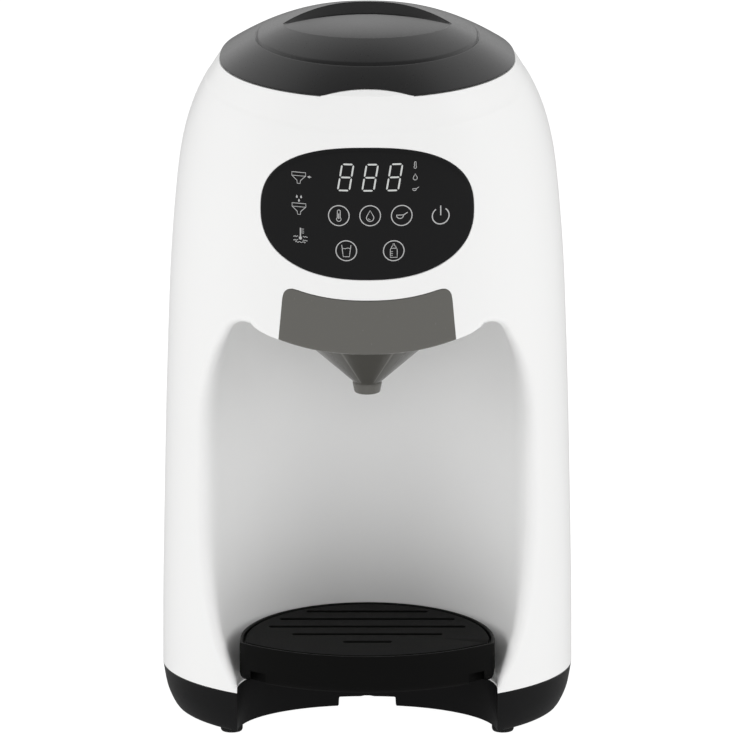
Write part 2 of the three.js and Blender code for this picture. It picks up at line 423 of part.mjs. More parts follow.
// water tank that forms the back of the machine
{
  const y0 = Y_DOCK + 0.4, behind = (a, z0, z1) => box(-100, 100, a, 130, z0, z1);
  const tankOuter = both(body(Z_JOINT + 0.4, TANK_TOP), behind(y0, 0, 300));
  let s = cut(tankOuter, both(body(25.2, TANK_TOP + 1, WALL), behind(y0 + WALL, 25.2, 300)));
  // outlet spigot and valve cage
  s = add(s, cyl(6, 13.4, 25.3, 0, 88, 14), ring(4.6, 7.4, 40, 42, 0, 88, 14), box(-7.4, -5.9, 86.5, 89.5, 25, 41), box(5.9, 7.4, 86.5, 89.5, 25, 41));
  s = cut(s, cyl(4, 12, 26, 0, 88, 14));
  node('water_tank', s, MAT.smoke);
  const lidOuter = both(body(TANK_TOP + GAP, Z_TOP - 0.6), behind(y0, 0, 288));
  let l = cut(lidOuter, both(body(TANK_TOP - 4, 286, WALL), behind(y0 + WALL, 0, 272)));
  // finger slot in the back of the tank lid
  l = cut(l, both(box(-22, 22, 98, 130, 224, 233), cut(body(210, 240, -2), body(209, 241, 1.4))));
  node('tank_lid', l, MAT.white);
}
node('valve_plunger', lathe([[0, 16.5], [2.4, 16.5], [2.4, 25.5], [5.4, 25.5], [5.4, 27.3], [2.2, 27.3], [2.2, 33], [0, 33]], 12, 0, 88), MAT.rubber);
{
  const pts = [], turns = 3;
  for (let i = 0; i <= turns * 8; i++) { const t = i * Math.PI / 4; pts.push([3.8 * Math.cos(t), 88 + 3.8 * Math.sin(t), 28.3 + 10.9 * i / (turns * 8)]); }
  node('valve_spring', tube(pts, 0.55, turns * 9, 4), MAT.steel);
}
node('tank_seat', cut(lathe([[0, 8], [9.6, 8], [9.6, 18.6], [11.6, 18.6], [11.6, 19.2], [9.6, 19.2], [9.6, 21.8], [6.6, 21.8], [6.6, 19.4], [8.4, 19.4], [8.4, 16.4], [6.6, 16.4], [6.6, 10], [0, 10]], 14, 0, 88), cylY(2.2, 74, 88, 0, 12.6, 12)), MAT.inner);
node('tank_seal', ring(6.3, 8.1, 16.8, 19, 0, 88, 18), MAT.silicone);

// water path behind the bay
{
  const pump = add(cyl(13, 30, 52, 30, 44, 18), cyl(8, 51.9, 56, 30, 44, 14), box(21, 39, 36, 52, 26.2, 30.1), cyl(3, 56, 60, 30, 44, 12));
  node('water_pump', pump, MAT.black);
  node('heater', add(cyl(14, 76, 148, -28, 44, 20), cyl(3, 70, 76.1, -28, 44, 12), cyl(3, 147.9, 154, -28, 44, 12)), MAT.alloy);
  node('heater_bracket', add(box(-50, -8, 59.4, 61.6, 84, 140), box(-46, -42.6, 44, 60, 96, 102), box(-13.4, -10, 44, 60, 96, 102), box(-46, -42.6, 44, 60, 122, 128), box(-13.4, -10, 44, 60, 122, 128)), MAT.steel);
  node('temperature_sensor', add(cylX(3, -50, -42.3, 44, 112, 12), cylX(4.6, -54, -49.9, 44, 112, 6)), MAT.steel);
  node('inlet_hose', tube([[0, 77.8, 12.6], [2, 70, 12.6], [12, 60, 13], [25, 56, 14], [30, 57, 18]], 3, 10, 6), MAT.silicone);
  node('pump_hose', tube([[30, 44, 60.4], [30, 44, 64], [20, 45, 66], [0, 46, 64], [-20, 45, 63], [-28, 44, 66], [-28, 44, 69.6]], 3, 16, 6), MAT.silicone);
  node('hot_hose', tube([[-28, 44, 154.4], [-28, 45, 165], [-33, 52, 184], [-37, 55, 200], [-37, 52, 213], [-33, 30, 220], [-27, 0, 223], [-21.6, -13.5, 222.5], [-21, -16, 219], [-21, -16, 214.7]], 2.8, 22, 6), MAT.silicone);
}
// electrics
node('board_carrier', box(6, 62, 60.6, 62.9, 66, 196), MAT.inner);
node('power_board', add(box(8, 60, 58.4, 60.2, 70, 128), box(12, 34, 42, 58.5, 76, 98), cylY(6, 44, 58.5, 48, 84, 16), box(40, 56, 50, 58.5, 104, 120)), MAT.board);
node('main_board', add(box(8, 60, 58.4, 60.2, 136, 192), box(18, 34, 56.2, 58.5, 156, 172), box(42, 56, 52, 58.5, 142, 152), box(14, 26, 53, 58.5, 180, 188)), MAT.board);
{
  let s = box(-11, 11, 98.2, 106.2, 6.5, 18);
  s = cut(s, box(-7.6, 7.6, 100, 112, 8.4, 16));
  s = add(s, cylY(1.1, 99.5, 105, -3.2, 12.2, 8), cylY(1.1, 99.5, 105, 3.2, 12.2, 8));
  node('power_inlet', s, MAT.black);
}
node('ribbon_cable', tube([[27, -51.2, 219], [44, -42, 217], [58, -20, 216], [59, 25, 216], [52, 50, 214], [47, 55.5, 204], [45, 55.6, 194.6]], 1.8, 20, 5), MAT.rubber);

// ---------------------------------------------------------------- assembly
const group = new THREE.Group();
for (const m of nodes) group.add(m);
const bounds = new THREE.Box3().setFromObject(group);
group.position.y = -(bounds.min.y + bounds.max.y) / 2;   // origin at the bottom centre of the whole machine

export default group;
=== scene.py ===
# Formula maker with bottle warmer: the finished look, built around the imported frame.
import json
import math
import bpy
import bmesh
import numpy as np
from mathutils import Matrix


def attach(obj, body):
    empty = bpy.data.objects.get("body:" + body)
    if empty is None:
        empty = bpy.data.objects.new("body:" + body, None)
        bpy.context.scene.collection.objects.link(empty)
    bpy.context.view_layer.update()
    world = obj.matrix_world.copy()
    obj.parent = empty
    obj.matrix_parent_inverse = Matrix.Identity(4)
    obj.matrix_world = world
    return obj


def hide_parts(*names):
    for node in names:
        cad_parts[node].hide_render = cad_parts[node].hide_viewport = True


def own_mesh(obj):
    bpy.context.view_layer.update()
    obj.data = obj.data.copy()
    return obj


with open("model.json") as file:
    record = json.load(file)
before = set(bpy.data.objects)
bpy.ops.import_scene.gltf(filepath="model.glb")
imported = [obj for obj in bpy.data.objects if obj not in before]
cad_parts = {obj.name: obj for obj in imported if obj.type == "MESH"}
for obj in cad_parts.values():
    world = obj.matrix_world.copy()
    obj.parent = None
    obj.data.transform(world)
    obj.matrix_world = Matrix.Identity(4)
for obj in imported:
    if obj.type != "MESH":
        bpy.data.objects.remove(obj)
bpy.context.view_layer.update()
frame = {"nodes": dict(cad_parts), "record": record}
scene = bpy.context.scene

# ---------------------------------------------------------------- camera
cam_data = bpy.data.cameras.new("camera")
cam_data.sensor_fit = "HORIZONTAL"
cam_data.sensor_width = 36.0
cam_data.lens = 593.8
cam_data.shift_x = 0.00095
cam_data.clip_start, cam_data.clip_end = 0.1, 60.0
camera = bpy.data.objects.new("camera", cam_data)
scene.collection.objects.link(camera)
camera.location = (0.0, -5.022318, 1.58373)
camera.rotation_euler = (math.radians(90 - 15.972), 0.0, 0.0)
scene.camera = camera
scene.view_settings.view_transform = "Standard"
scene.view_settings.look = "None"

# ---------------------------------------------------------------- driving dimensions, mm, as in the construction
SHIFT_Y = -22.317855834960938      # the construction's Y origin in the row frame
GAP, WALL = 0.3, 2.5
Z_JOINT, Z_TOP, TILT = 22.0, 289.2, 0.0144
Y_SPLIT, Y_DOCK, HOLE_Y, MOUTH_R = 26.0, 66.0, 1.0, 56.8
FUN_Y, BAY_BACK, BAY_CY = -24.0, 18.5, -36.0
TRAY_Z0, TRAY_Z1 = 25.8, 42.5
PANEL_Z, PANEL_A, PANEL_B, PANEL_N = 239.0, 45.7, 29.3, 2.4
LID_A, LID_F, LID_R, LID_N = 62.8, 62.5, 65.0, 2.4
LID_CROWN, LID_H, LID_P = 311.1, 21.0, 2.1
TANK_TOP = 214.0
T_A = [(22, 88), (48, 87.88), (85, 87.27), (112, 86.72), (138, 86.13), (165, 85.31), (183, 84.68), (200, 83.97),
       (218, 82.78), (236, 81.2), (246, 80.05), (254, 78.65), (260, 77.2), (266, 75.4), (271.5, 73.3), (276, 71.2), (280, 69.1),
       (284, 66.9), (287, 64.9), (289.5, 63.2)]
T_B = [(22, 64.5), (60, 65.3), (100, 66), (180, 67.4), (236, 67.2), (260, 66.2), (270, 65.3), (278, 64.3), (284, 63.5), (289.5, 62.6)]
T_C = [(22, 112), (200, 110), (225, 106), (240, 101), (253, 94), (265, 85), (278, 74), (284, 69.5), (289.5, 66)]
T_N = [(22, 2.7), (200, 2.7), (240, 2.6), (265, 2.5), (289.5, 2.4)]
T_BASE = [(3, 81.6), (3.6, 82.1), (8, 84.6), (12.6, 86.3), (22, 88)]
T_BAY = [(22, 55), (25.5, 55.6), (30, 57), (48, 62), (65, 63.6), (100, 65), (140, 65), (165, 62.4), (188, 55.2), (194, 53)]
T_EDGE = [(22, 1.2), (26, 2.6), (34, 4.2), (48, 5.6), (70, 7.6), (100, 9), (150, 9), (168, 7.5), (180, 5.5), (190, 4)]


# ---------------------------------------------------------------- smooth curves through the tables
def curve(tab, soften=0.0, step=0.25):
    """A smooth function through the table's points, straight beyond its ends."""
    x, y = np.array(tab, float).T
    h = np.diff(x)
    d = np.diff(y) / h
    m = np.zeros_like(y)
    m[0], m[-1] = d[0], d[-1]
    for i in range(1, len(x) - 1):
        if d[i - 1] * d[i] > 0:
            w1, w2 = 2 * h[i] + h[i - 1], h[i] + 2 * h[i - 1]
            m[i] = (w1 + w2) / (w1 / d[i - 1] + w2 / d[i])
    g = np.arange(x[0] - 30, x[-1] + 30, step)
    k = np.clip(np.searchsorted(x, g) - 1, 0, len(x) - 2)
    t = (g - x[k]) / h[k]
    t2, t3 = t * t, t * t * t
    v = (2 * t3 - 3 * t2 + 1) * y[k] + (t3 - 2 * t2 + t) * h[k] * m[k] + (3 * t2 - 2 * t3) * y[k + 1] + (t3 - t2) * h[k] * m[k + 1]
    v = np.where(g < x[0], y[0] + (g - x[0]) * m[0], np.where(g > x[-1], y[-1] + (g - x[-1]) * m[-1], v))
    if soften:
        w = np.exp(-0.5 * (np.arange(-int(4 * soften / step), int(4 * soften / step) + 1) * step / soften) ** 2)
        pad = len(w) // 2
        p = np.concatenate([v[0] + (v[1] - v[0]) * np.arange(-pad, 0), v, v[-1] + (v[-1] - v[-2]) * np.arange(1, pad + 1)])
        v = np.convolve(p, w / w.sum(), "valid")
    return lambda z: np.interp(z, g, v)


fA, fB, fC, fN = curve(T_A, 3.0), curve(T_B, 4.0), curve(T_C, 4.0), curve(T_N, 6.0)
fBase, fBay, fEdge = curve(T_BASE, 0.5), curve(T_BAY, 3.0), curve(T_EDGE, 3.0)


def lean_z(z, y):
    return z - TILT * y * np.clip((z - 250) / 39, 0, 1)


def front_y(x, z):
    """The housing's front surface."""
    x, z = np.asarray(x, float), np.asarray(z, float)
    y = np.full(np.broadcast(x, z).shape, -66.0)
    for _ in range(4):
        zz = lean_z(z, y)
        y = -fB(zz) * np.sqrt(np.maximum(0, 1 - (x / fA(zz)) ** 2))
    return y


def head_edge(x):
    return 177.4 + 11.2 * (np.abs(x) / 55) ** 2.3


# ---------------------------------------------------------------- mesh tools (all in the construction's mm)
work = []


def add_object(name, mesh):
    o = bpy.data.objects.new(name, mesh)
    scene.collection.objects.link(o)
    return o


def mesh_object(name, verts, faces):
    me = bpy.data.meshes.new(name)
    me.from_pydata(np.asarray(verts, float).tolist(), [], faces)
    bm = bmesh.new()
    bm.from_mesh(me)
    bmesh.ops.remove_doubles(bm, verts=bm.verts, dist=1e-4)
    bmesh.ops.recalc_face_normals(bm, faces=bm.faces)
    if bm.calc_volume(signed=True) < 0:
        bmesh.ops.reverse_faces(bm, faces=bm.faces)
    bm.to_mesh(me)
    bm.free()
    return add_object(name, me)


def loft(name, rings, close=False):
    """A closed solid through rings of equal count. A ring of one point closes an end, and a full ring gets a flat cap; close joins the last ring to the first."""
    rings = [np.atleast_2d(np.asarray(r, float)) for r in rings]
    n = max(len(r) for r in rings)
    start, verts, faces = [], [], []
    for r in rings:
        start.append(sum(len(v) for v in verts))
        verts.append(r)
    pairs = list(zip(range(len(rings)), range(1, len(rings))))
    if close:
        pairs.append((len(rings) - 1, 0))
    for i, j in pairs:
        a, b = start[i], start[j]
        if len(rings[i]) == 1:
            faces += [(a, b + k, b + (k + 1) % n) for k in range(n)]
        elif len(rings[j]) == 1:
            faces += [(a + k, b, a + (k + 1) % n) for k in range(n)]
        else:
            faces += [(a + k, b + k, b + (k + 1) % n, a + (k + 1) % n) for k in range(n)]
    if not close:
        if len(rings[0]) > 1:
            faces.append(tuple(range(start[0], start[0] + n)))
        if len(rings[-1]) > 1:
            faces.append(tuple(range(start[-1] + n - 1, start[-1] - 1, -1)))
    return mesh_object(name, np.vstack(verts), faces)


def circle(r, z, x=0.0, y=0.0, n=96):
    t = np.arange(n) * 2 * math.pi / n
    return np.stack([x + r * np.cos(t), y + r * np.sin(t), np.full(n, float(z))], 1)


def soft_profile(pts, r=0.5, steps=3):
    """Rounds each corner of a profile of (radius, z) points; a point may carry its own radius as a third value."""
    out = []
    p = [np.array(q[:2], float) for q in pts]
    rr = [q[2] if len(q) > 2 else r for q in pts]
    for i, q in enumerate(p):
        if i in (0, len(p) - 1) or rr[i] <= 0:
            out.append(q)
            continue
        a, b = p[i - 1] - q, p[i + 1] - q
        la, lb = np.linalg.norm(a), np.linalg.norm(b)
        if la < 1e-6 or lb < 1e-6:
            out.append(q)
            continue
        a, b = a / la, b / lb
        half = math.acos(float(np.clip(a @ b, -1, 1))) / 2
        if half > math.radians(85):
            out.append(q)
            continue
        cut = min(rr[i] / math.tan(half), la * 0.45, lb * 0.45)
        s, e = q + a * cut, q + b * cut
        for k in range(steps + 1):
            t = k / steps
            out.append((1 - t) ** 2 * s + 2 * t * (1 - t) * q + t * t * e)
    return out


def lathe(name, pts, n=96, x=0.0, y=0.0, r=0.4, steps=3):
    prof = soft_profile(pts, r, steps)
    rings = [np.array([[x, y, z]]) if rad < 1e-6 else circle(rad, z, x, y, n) for rad, z in prof]
    return loft(name, rings)


def tube_ring(name, pts, n=96, x=0.0, y=0.0, r=0.3, steps=2):
    """A ring: the profile closes on itself."""
    p = soft_profile(list(pts) + [pts[0], pts[1]], r, steps)
    k = steps + 1
    p = p[1:-1]
    p = p[:len(p)]
    return loft(name, [circle(rad, z, x, y, n) for rad, z in p], close=True)


def flat_prism(name, outline, z0, z1):
    o = np.asarray(outline, float)
    return loft(name, [np.column_stack([o, np.full(len(o), float(z))]) for z in (z0, z1)])


def prism_y(name, outline, y0, y1):
    o = np.asarray(outline, float)
    return loft(name, [np.column_stack([o[:, 0], np.full(len(o), float(y)), o[:, 1]]) for y in (y0, y1)])


def block(name, x0, x1, y0, y1, z0, z1):
    return flat_prism(name, [(x0, y0), (x1, y0), (x1, y1), (x0, y1)], z0, z1)


def rod(name, r, z0, z1, x=0.0, y=0.0, n=48):
    return loft(name, [circle(r, z0, x, y, n), circle(r, z1, x, y, n)])


def rod_y(name, r, y0, y1, x, z, n=48):
    t = np.arange(n) * 2 * math.pi / n
    return loft(name, [np.stack([x + r * np.cos(t), np.full(n, float(y)), z + r * np.sin(t)], 1) for y in (y0, y1)])


def join(a, b, operation):
    """Boolean of two solids; the second one is used up."""
    for solver in ("MANIFOLD", "EXACT"):
        m = a.modifiers.new("join", "BOOLEAN")
        m.object, m.operation, m.solver = b, operation, solver
        bpy.context.view_layer.update()
        made = bpy.data.meshes.new_from_object(a.evaluated_get(bpy.context.evaluated_depsgraph_get()))
        a.modifiers.clear()
        if len(made.vertices) and (len(made.vertices) != len(a.data.vertices) or len(made.polygons) != len(a.data.polygons)):
            break
        print("boolean", a.name, b.name, operation, solver, "left the mesh as it was")
    old = a.data
    a.data = made
    bpy.data.meshes.remove(old)
    gone = b.data
    bpy.data.objects.remove(b)
    bpy.data.meshes.remove(gone)
    return a


def cut(a, *others):
    for b in others:
        join(a, b, "DIFFERENCE")
    return a


def add(a, *others):
    for b in others:
        join(a, b, "UNION")
    return a


def keep(a, *others):
    for b in others:
        join(a, b, "INTERSECT")
    return a


def fillet(pts, r, turn=20.0, steps=5):
    """Rounds the sharp corners of a closed outline of dense points."""
    p = np.asarray(pts, float)
    n = len(p)
    nxt, prv = np.roll(p, -1, 0) - p, p - np.roll(p, 1, 0)
    ang = np.degrees(np.abs(np.angle((nxt[:, 0] + 1j * nxt[:, 1]) / (prv[:, 0] + 1j * prv[:, 1]))))
    corners = [i for i in range(n) if ang[i] > turn]
    if not corners:
        return p
    out = []
    for c, i in enumerate(corners):
        j = corners[(c + 1) % len(corners)]
        run = [p[(i + k) % n] for k in range(((j - i) % n or n) + 1)]
        run = np.array(run)
        seg = np.linalg.norm(np.diff(run, axis=0), axis=1)
        s = np.concatenate([[0], np.cumsum(seg)])

        def at(v):
            return np.array([np.interp(v, s, run[:, 0]), np.interp(v, s, run[:, 1])])
        ci, cj = (min((r(p[q]) if callable(r) else r) * math.tan(math.radians(min(ang[q], 150)) / 2), 0.45 * s[-1]) for q in (i, j))
        mid = [run[k] for k in range(1, len(run) - 1) if ci < s[k] < s[-1] - cj]
        out.append((at(ci), mid, at(s[-1] - cj), p[j]))
    res = []
    for c, (a, mid, b, corner) in enumerate(out):
        res.append(a)
        res += mid
        nxt_a = out[(c + 1) % len(out)][0]
        for k in range(steps):
            t = k / steps
            res.append((1 - t) ** 2 * b + 2 * t * (1 - t) * corner + t * t * nxt_a)
    return np.array(res)


def even(pts, n):
    """The same closed outline with n evenly spaced points."""
    p = np.vstack([pts, pts[:1]])
    at = np.concatenate([[0], np.cumsum(np.linalg.norm(np.diff(p, axis=0), axis=1))])
    t = np.arange(n) * at[-1] / n
    return np.stack([np.interp(t, at, p[:, 0]), np.interp(t, at, p[:, 1])], 1)


def rays(outline, centre, angles):
    """Distance from the centre to a star-shaped outline along each angle."""
    p = np.asarray(outline, float) - centre
    a = np.unwrap(np.arctan2(p[:, 1], p[:, 0]))
    if a[-1] < a[0]:
        p, a = p[::-1], a[::-1]
    out = np.empty(len(angles))
    q = np.roll(p, -1, 0)
    for i, t in enumerate(angles):
        d = np.array([math.cos(t), math.sin(t)])
        den = d[0] * (q[:, 1] - p[:, 1]) - d[1] * (q[:, 0] - p[:, 0])
        with np.errstate(divide="ignore", invalid="ignore"):
            u = (p[:, 0] * (q[:, 1] - p[:, 1]) - p[:, 1] * (q[:, 0] - p[:, 0])) / den
            w = (p[:, 0] * d[1] - p[:, 1] * d[0]) / den
        ok = (np.abs(den) > 1e-12) & (u > 0) & (w >= -1e-6) & (w <= 1 + 1e-6)
        out[i] = u[ok].min() if ok.any() else np.nan
    bad = np.isnan(out)
    if bad.any():
        out[bad] = np.interp(np.flatnonzero(bad), np.flatnonzero(~bad), out[~bad])
    return out


def spow(v, p):
    return np.sign(v) * np.abs(v) ** p


def body_ring(z, inset=0.0, n=256, tab=None, lean=True):
    """The housing's outline at one height."""
    t = np.arange(n) * 2 * math.pi / n
    c, s = np.cos(t), np.sin(t)
    if tab is None:
        a, b, cc, nn = fA(z), fB(z), fC(z), fN(z)
    else:
        a, b, cc, nn = tab
    back = s > 0
    x = np.where(back, (a - inset) * spow(c, 2 / nn), (a - inset) * c)
    y = np.where(back, (cc - inset) * spow(s, 2 / nn), (b - inset) * s)
    zz = np.full(n, float(z))
    if lean:
        zz = zz + TILT * y * np.clip((z - 250) / 39, 0, 1)
    return np.stack([x, y, zz], 1)


def body_solid(name, z0, z1, inset=0.0, n=256, step=5.0, soft0=0.0, soft1=0.0):
    """The housing's solid between two heights, with rounded or sharp ends."""
    zs = [z0 + soft0, *[z for z in np.arange(math.ceil(z0 / step) * step, z1, step if z1 < 240 else 2.5) if z0 + soft0 + 1 < z < z1 - soft1 - 1], z1 - soft1]
    rings = [body_ring(z, inset, n) for z in zs]
    for e, s, soft in ((0, -1, soft0), (-1, 1, soft1)):
        if soft:
            extra = []
            for k in (1, 2, 3):
                q = math.pi / 2 * k / 3
                r = body_ring(zs[e], inset + soft * (1 - math.cos(q)), n)
                r[:, 2] += s * soft * math.sin(q)
                extra.append(r)
            rings = extra[::-1] + rings if e == 0 else rings + extra
    return loft(name, rings)


# ---------------------------------------------------------------- finishing a piece
MATS = {}


def gradient(f, p, h=0.05):
    g = np.empty_like(p)
    for k in range(3):
        d = np.zeros(3)
        d[k] = h
        a, b = p + d, p - d
        g[:, k] = f(a[:, 0], a[:, 1], a[:, 2]) - f(b[:, 0], b[:, 1], b[:, 2])
    return g / np.maximum(np.linalg.norm(g, axis=1, keepdims=True), 1e-12)


def finish_piece(o, body, replaces, slot, sharp=28.0, field=None, material=None):
    me = o.data
    nv = len(me.vertices)
    co = np.empty(nv * 3)
    me.vertices.foreach_get("co", co)
    co = co.reshape(-1, 3)
    loops = None
    if field is not None:
        # normals straight from the smooth surface on the faces that lie on it
        me.update()
        vn = gradient(field, co)
        fn = np.empty(len(me.polygons) * 3)
        fc = np.empty(len(me.polygons) * 3)
        me.polygons.foreach_get("normal", fn)
        me.polygons.foreach_get("center", fc)
        fn, fc = fn.reshape(-1, 3), fc.reshape(-1, 3)
        gn = gradient(field, fc)
        tot = np.empty(len(me.polygons), np.int32)
        me.polygons.foreach_get("loop_total", tot)
        lv = np.empty(len(me.loops), np.int32)
        me.loops.foreach_get("vertex_index", lv)
        owner = np.repeat(np.arange(len(tot)), tot)
        on = (np.sum(fn * gn, 1) > 0.85) & (np.abs(field(fc[:, 0], fc[:, 1], fc[:, 2])) < 0.35)
        good = on[owner] & (np.sum(vn[lv] * fn[owner], 1) > 0.6)
        loops = np.where(good[:, None], vn[lv], fn[owner])
    co[:, 1] += SHIFT_Y
    me.vertices.foreach_set("co", (co / 1000).ravel())
    me.update()
    me.polygons.foreach_set("use_smooth", np.ones(len(me.polygons), bool))
    if loops is not None:
        me.normals_split_custom_set(loops.tolist())
    else:
        me.set_sharp_from_angle(angle=math.radians(sharp))
    me.materials.clear()
    me.materials.append(material or MATS[slot])
    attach(o, body)
    if replaces:
        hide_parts(*replaces)
    return o


# ---------------------------------------------------------------- materials
def material(name, colour, rough, metal=0.0, grain=0.02, grain_size=1.2, tone=0.03, coat=0.0, specular=0.5, transmission=0.0, ior=1.46, rough_vary=0.06, brushed=None, bands=None):
    m = bpy.data.materials.new(name)
    m.use_nodes = True
    nt = m.node_tree
    bsdf = nt.nodes["Principled BSDF"]
    bsdf.inputs["Metallic"].default_value = metal
    bsdf.inputs["IOR"].default_value = ior
    bsdf.inputs["Specular IOR Level"].default_value = specular
    bsdf.inputs["Coat Weight"].default_value = coat
    bsdf.inputs["Coat Roughness"].default_value = 0.08
    bsdf.inputs["Transmission Weight"].default_value = transmission
    coords = nt.nodes.new("ShaderNodeTexCoord")
    slow = nt.nodes.new("ShaderNodeTexNoise")
    slow.inputs["Scale"].default_value = 18.0
    slow.inputs["Detail"].default_value = 3.0
    nt.links.new(coords.outputs["Object"], slow.inputs["Vector"])
    mix = nt.nodes.new("ShaderNodeMix")
    mix.data_type = "RGBA"
    lo, hi = (tuple(min(1.0, c * (1 + s * tone)) for c in colour) + (1.0,) for s in (-1, 1))
    mix.inputs["A"].default_value, mix.inputs["B"].default_value = lo, hi
    nt.links.new(slow.outputs["Fac"], mix.inputs["Factor"])
    nt.links.new(mix.outputs["Result"], bsdf.inputs["Base Color"])
    fine = nt.nodes.new("ShaderNodeTexNoise")
    fine.inputs["Scale"].default_value = 1000.0 / grain_size
    fine.inputs["Detail"].default_value = 2.0
    if brushed:
        mp = nt.nodes.new("ShaderNodeMapping")
        mp.inputs["Scale"].default_value = brushed
        nt.links.new(coords.outputs["Object"], mp.inputs["Vector"])
        nt.links.new(mp.outputs["Vector"], fine.inputs["Vector"])
    else:
        nt.links.new(coords.outputs["Object"], fine.inputs["Vector"])
    rng = nt.nodes.new("ShaderNodeMapRange")
    rng.inputs["To Min"].default_value = max(0.0, rough - rough_vary)
    rng.inputs["To Max"].default_value = min(1.0, rough + rough_vary)
    nt.links.new(fine.outputs["Fac"], rng.inputs["Value"])
    nt.links.new(rng.outputs["Result"], bsdf.inputs["Roughness"])
    if grain:
        bump = nt.nodes.new("ShaderNodeBump")
        bump.inputs["Strength"].default_value = grain
        bump.inputs["Distance"].default_value = 0.0004
        nt.links.new(fine.outputs["Fac"], bump.inputs["Height"])
        nt.links.new(bump.outputs["Normal"], bsdf.inputs["Normal"])
    MATS[name] = m
    return m


material("white_housing", (0.86, 0.86, 0.855), 0.36, grain=0.012, tone=0.006, specular=0.4)
material("black_base", (0.0065, 0.0065, 0.0068), 0.36, grain=0.02, tone=0.08, specular=0.28)
material("lid_plastic", (0.011, 0.011, 0.0112), 0.3, grain=0.02, grain_size=0.9, tone=0.05, specular=0.6)
material("tray_cover", (0.0042, 0.0042, 0.004), 0.5, grain=0.03, grain_size=0.9, tone=0.08, specular=0.04)
material("tray_plastic", (0.0042, 0.0042, 0.004), 0.46, grain=0.03, grain_size=0.9, tone=0.08, specular=0.12)
material("panel_glass", (0.0085, 0.0085, 0.0088), 0.12, grain=0.0, tone=0.05, rough_vary=0.015, specular=0.35)
material("funnel_plastic", (0.125, 0.122, 0.112), 0.26, grain=0.012, tone=0.025, rough_vary=0.03)
material("tank_plastic", (0.42, 0.45, 0.47), 0.1, grain=0.006, tone=0.02, transmission=0.9, rough_vary=0.03)
material("clear_plastic", (0.86, 0.88, 0.89), 0.14, grain=0.01, tone=0.01, transmission=0.9, rough_vary=0.04)
material("foot_rubber", (0.014, 0.014, 0.014), 0.75, grain=0.08, tone=0.1, specular=0.3)
material("silicone", (0.62, 0.62, 0.58), 0.5, grain=0.03, tone=0.03)
material("steel", (0.6, 0.61, 0.62), 0.28, metal=1.0, grain=0.03, tone=0.04)
material("motor_alloy", (0.52, 0.53, 0.54), 0.36, metal=1.0, grain=0.05, tone=0.05)
material("inner_plastic", (0.6, 0.6, 0.57), 0.5, grain=0.04, tone=0.03)
material("circuit_board", (0.02, 0.13, 0.055), 0.38, grain=0.05, tone=0.2, grain_size=2.5)
material("black_part", (0.014, 0.014, 0.014), 0.4, grain=0.05, tone=0.08)


def plain_emission(name, colour, strength):
    m = material(name, colour, 0.5, grain=0.0, tone=0.02)
    b = m.node_tree.nodes["Principled BSDF"]
    b.inputs["Emission Color"].default_value = tuple(colour) + (1.0,)
    b.inputs["Emission Strength"].default_value = strength
    return m


# painted light: the printed signs glow faintly, though print gives no light
plain_emission("panel_print_glow", (0.44, 0.44, 0.44), 0.06)
plain_emission("digit_light", (0.5, 0.51, 0.5), 0.2)

# painted light: lighter copies of the lid plastic in the lid's finger recess, evenly on its rear wall and, more and
# more towards the back, on its floor
material("lid_wall", (0.034, 0.034, 0.034), 0.45, grain=0.02, tone=0.05)
# painted shade: a darker copy of the funnel plastic for its cone, standing in for the dark inside seen through the wall
material("funnel_cone", (0.072, 0.07, 0.063), 0.2, grain=0.01, tone=0.03, rough_vary=0.03)
# painted light: the recess floor's colour ramps from dark at the front to light at the back
recess_painted_light_mat = material("lid_recess", (0.05, 0.05, 0.05), 0.5, grain=0.02, tone=0.05, specular=0.12)
nt = recess_painted_light_mat.node_tree
place = nt.nodes.new("ShaderNodeTexCoord")
part = nt.nodes.new("ShaderNodeSeparateXYZ")
nt.links.new(place.outputs["Object"], part.inputs["Vector"])
span = nt.nodes.new("ShaderNodeMapRange")
span.inputs["From Min"].default_value, span.inputs["From Max"].default_value = -0.052, -0.006
nt.links.new(part.outputs["Y"], span.inputs["Value"])
shade = nt.nodes.new("ShaderNodeMix")
shade.data_type = "RGBA"
shade.inputs["A"].default_value, shade.inputs["B"].default_value = (0.03, 0.03, 0.03, 1), (0.34, 0.34, 0.34, 1)
nt.links.new(span.outputs["Result"], shade.inputs["Factor"])
soft = nt.nodes.new("ShaderNodeMix")
soft.data_type, soft.blend_type = "RGBA", "MULTIPLY"
soft.inputs["Factor"].default_value = 0.25
nt.links.new(shade.outputs["Result"], soft.inputs["A"])
nt.links.new(next(n for n in nt.nodes if n.bl_idname == "ShaderNodeTexNoise").outputs["Fac"], soft.inputs["B"])
nt.links.new(soft.outputs["Result"], nt.nodes["Principled BSDF"].inputs["Base Color"])

for row in frame["record"]["subparts"]:
    node = frame["nodes"][row["node"]]
    node.data.materials.clear()
    node.data.materials.append(MATS[row["material_slot"]])


# ---------------------------------------------------------------- housing: smooth solid with a softly rounded bay
def smax(a, b, r):
    return np.minimum(np.maximum(a, b), -r) + np.sqrt(np.maximum(a + r, 0) ** 2 + np.maximum(b + r, 0) ** 2)


def body_flat(x, y, z):
    zz = lean_z(z, y)
    a, b, c, n = fA(zz), fB(zz), fC(zz), fN(zz)
    g = np.sqrt((x / a) ** 2 + (y / b) ** 2) + 1e-9
    front = (g - 1) * g / np.sqrt((x / a ** 2) ** 2 + (y / b ** 2) ** 2 + 1e-14)
    px, py = np.abs(x) / a, np.maximum(y, 0) / c
    F = px ** n + py ** n + 1e-12
    grad = F ** (1 / n - 1) * np.sqrt((px ** (n - 1) / a) ** 2 + (py ** (n - 1) / c) ** 2)
    return np.where(y < 0, front, (F ** (1 / n) - 1) / np.maximum(grad, 1e-9))


def body_field(x, y, z):
    d = body_flat(x, y, z)
    s = (body_flat(x, y, z + 0.6) - body_flat(x, y, z - 0.6)) / 1.2
    d = d / np.sqrt(1 + s * s)
    # soft crease a little below the lid
    zz = z - TILT * y - 0.0011 * x * x
    return d + 0.26 / (1 + np.exp(-(zz - 275.2) / 0.4))


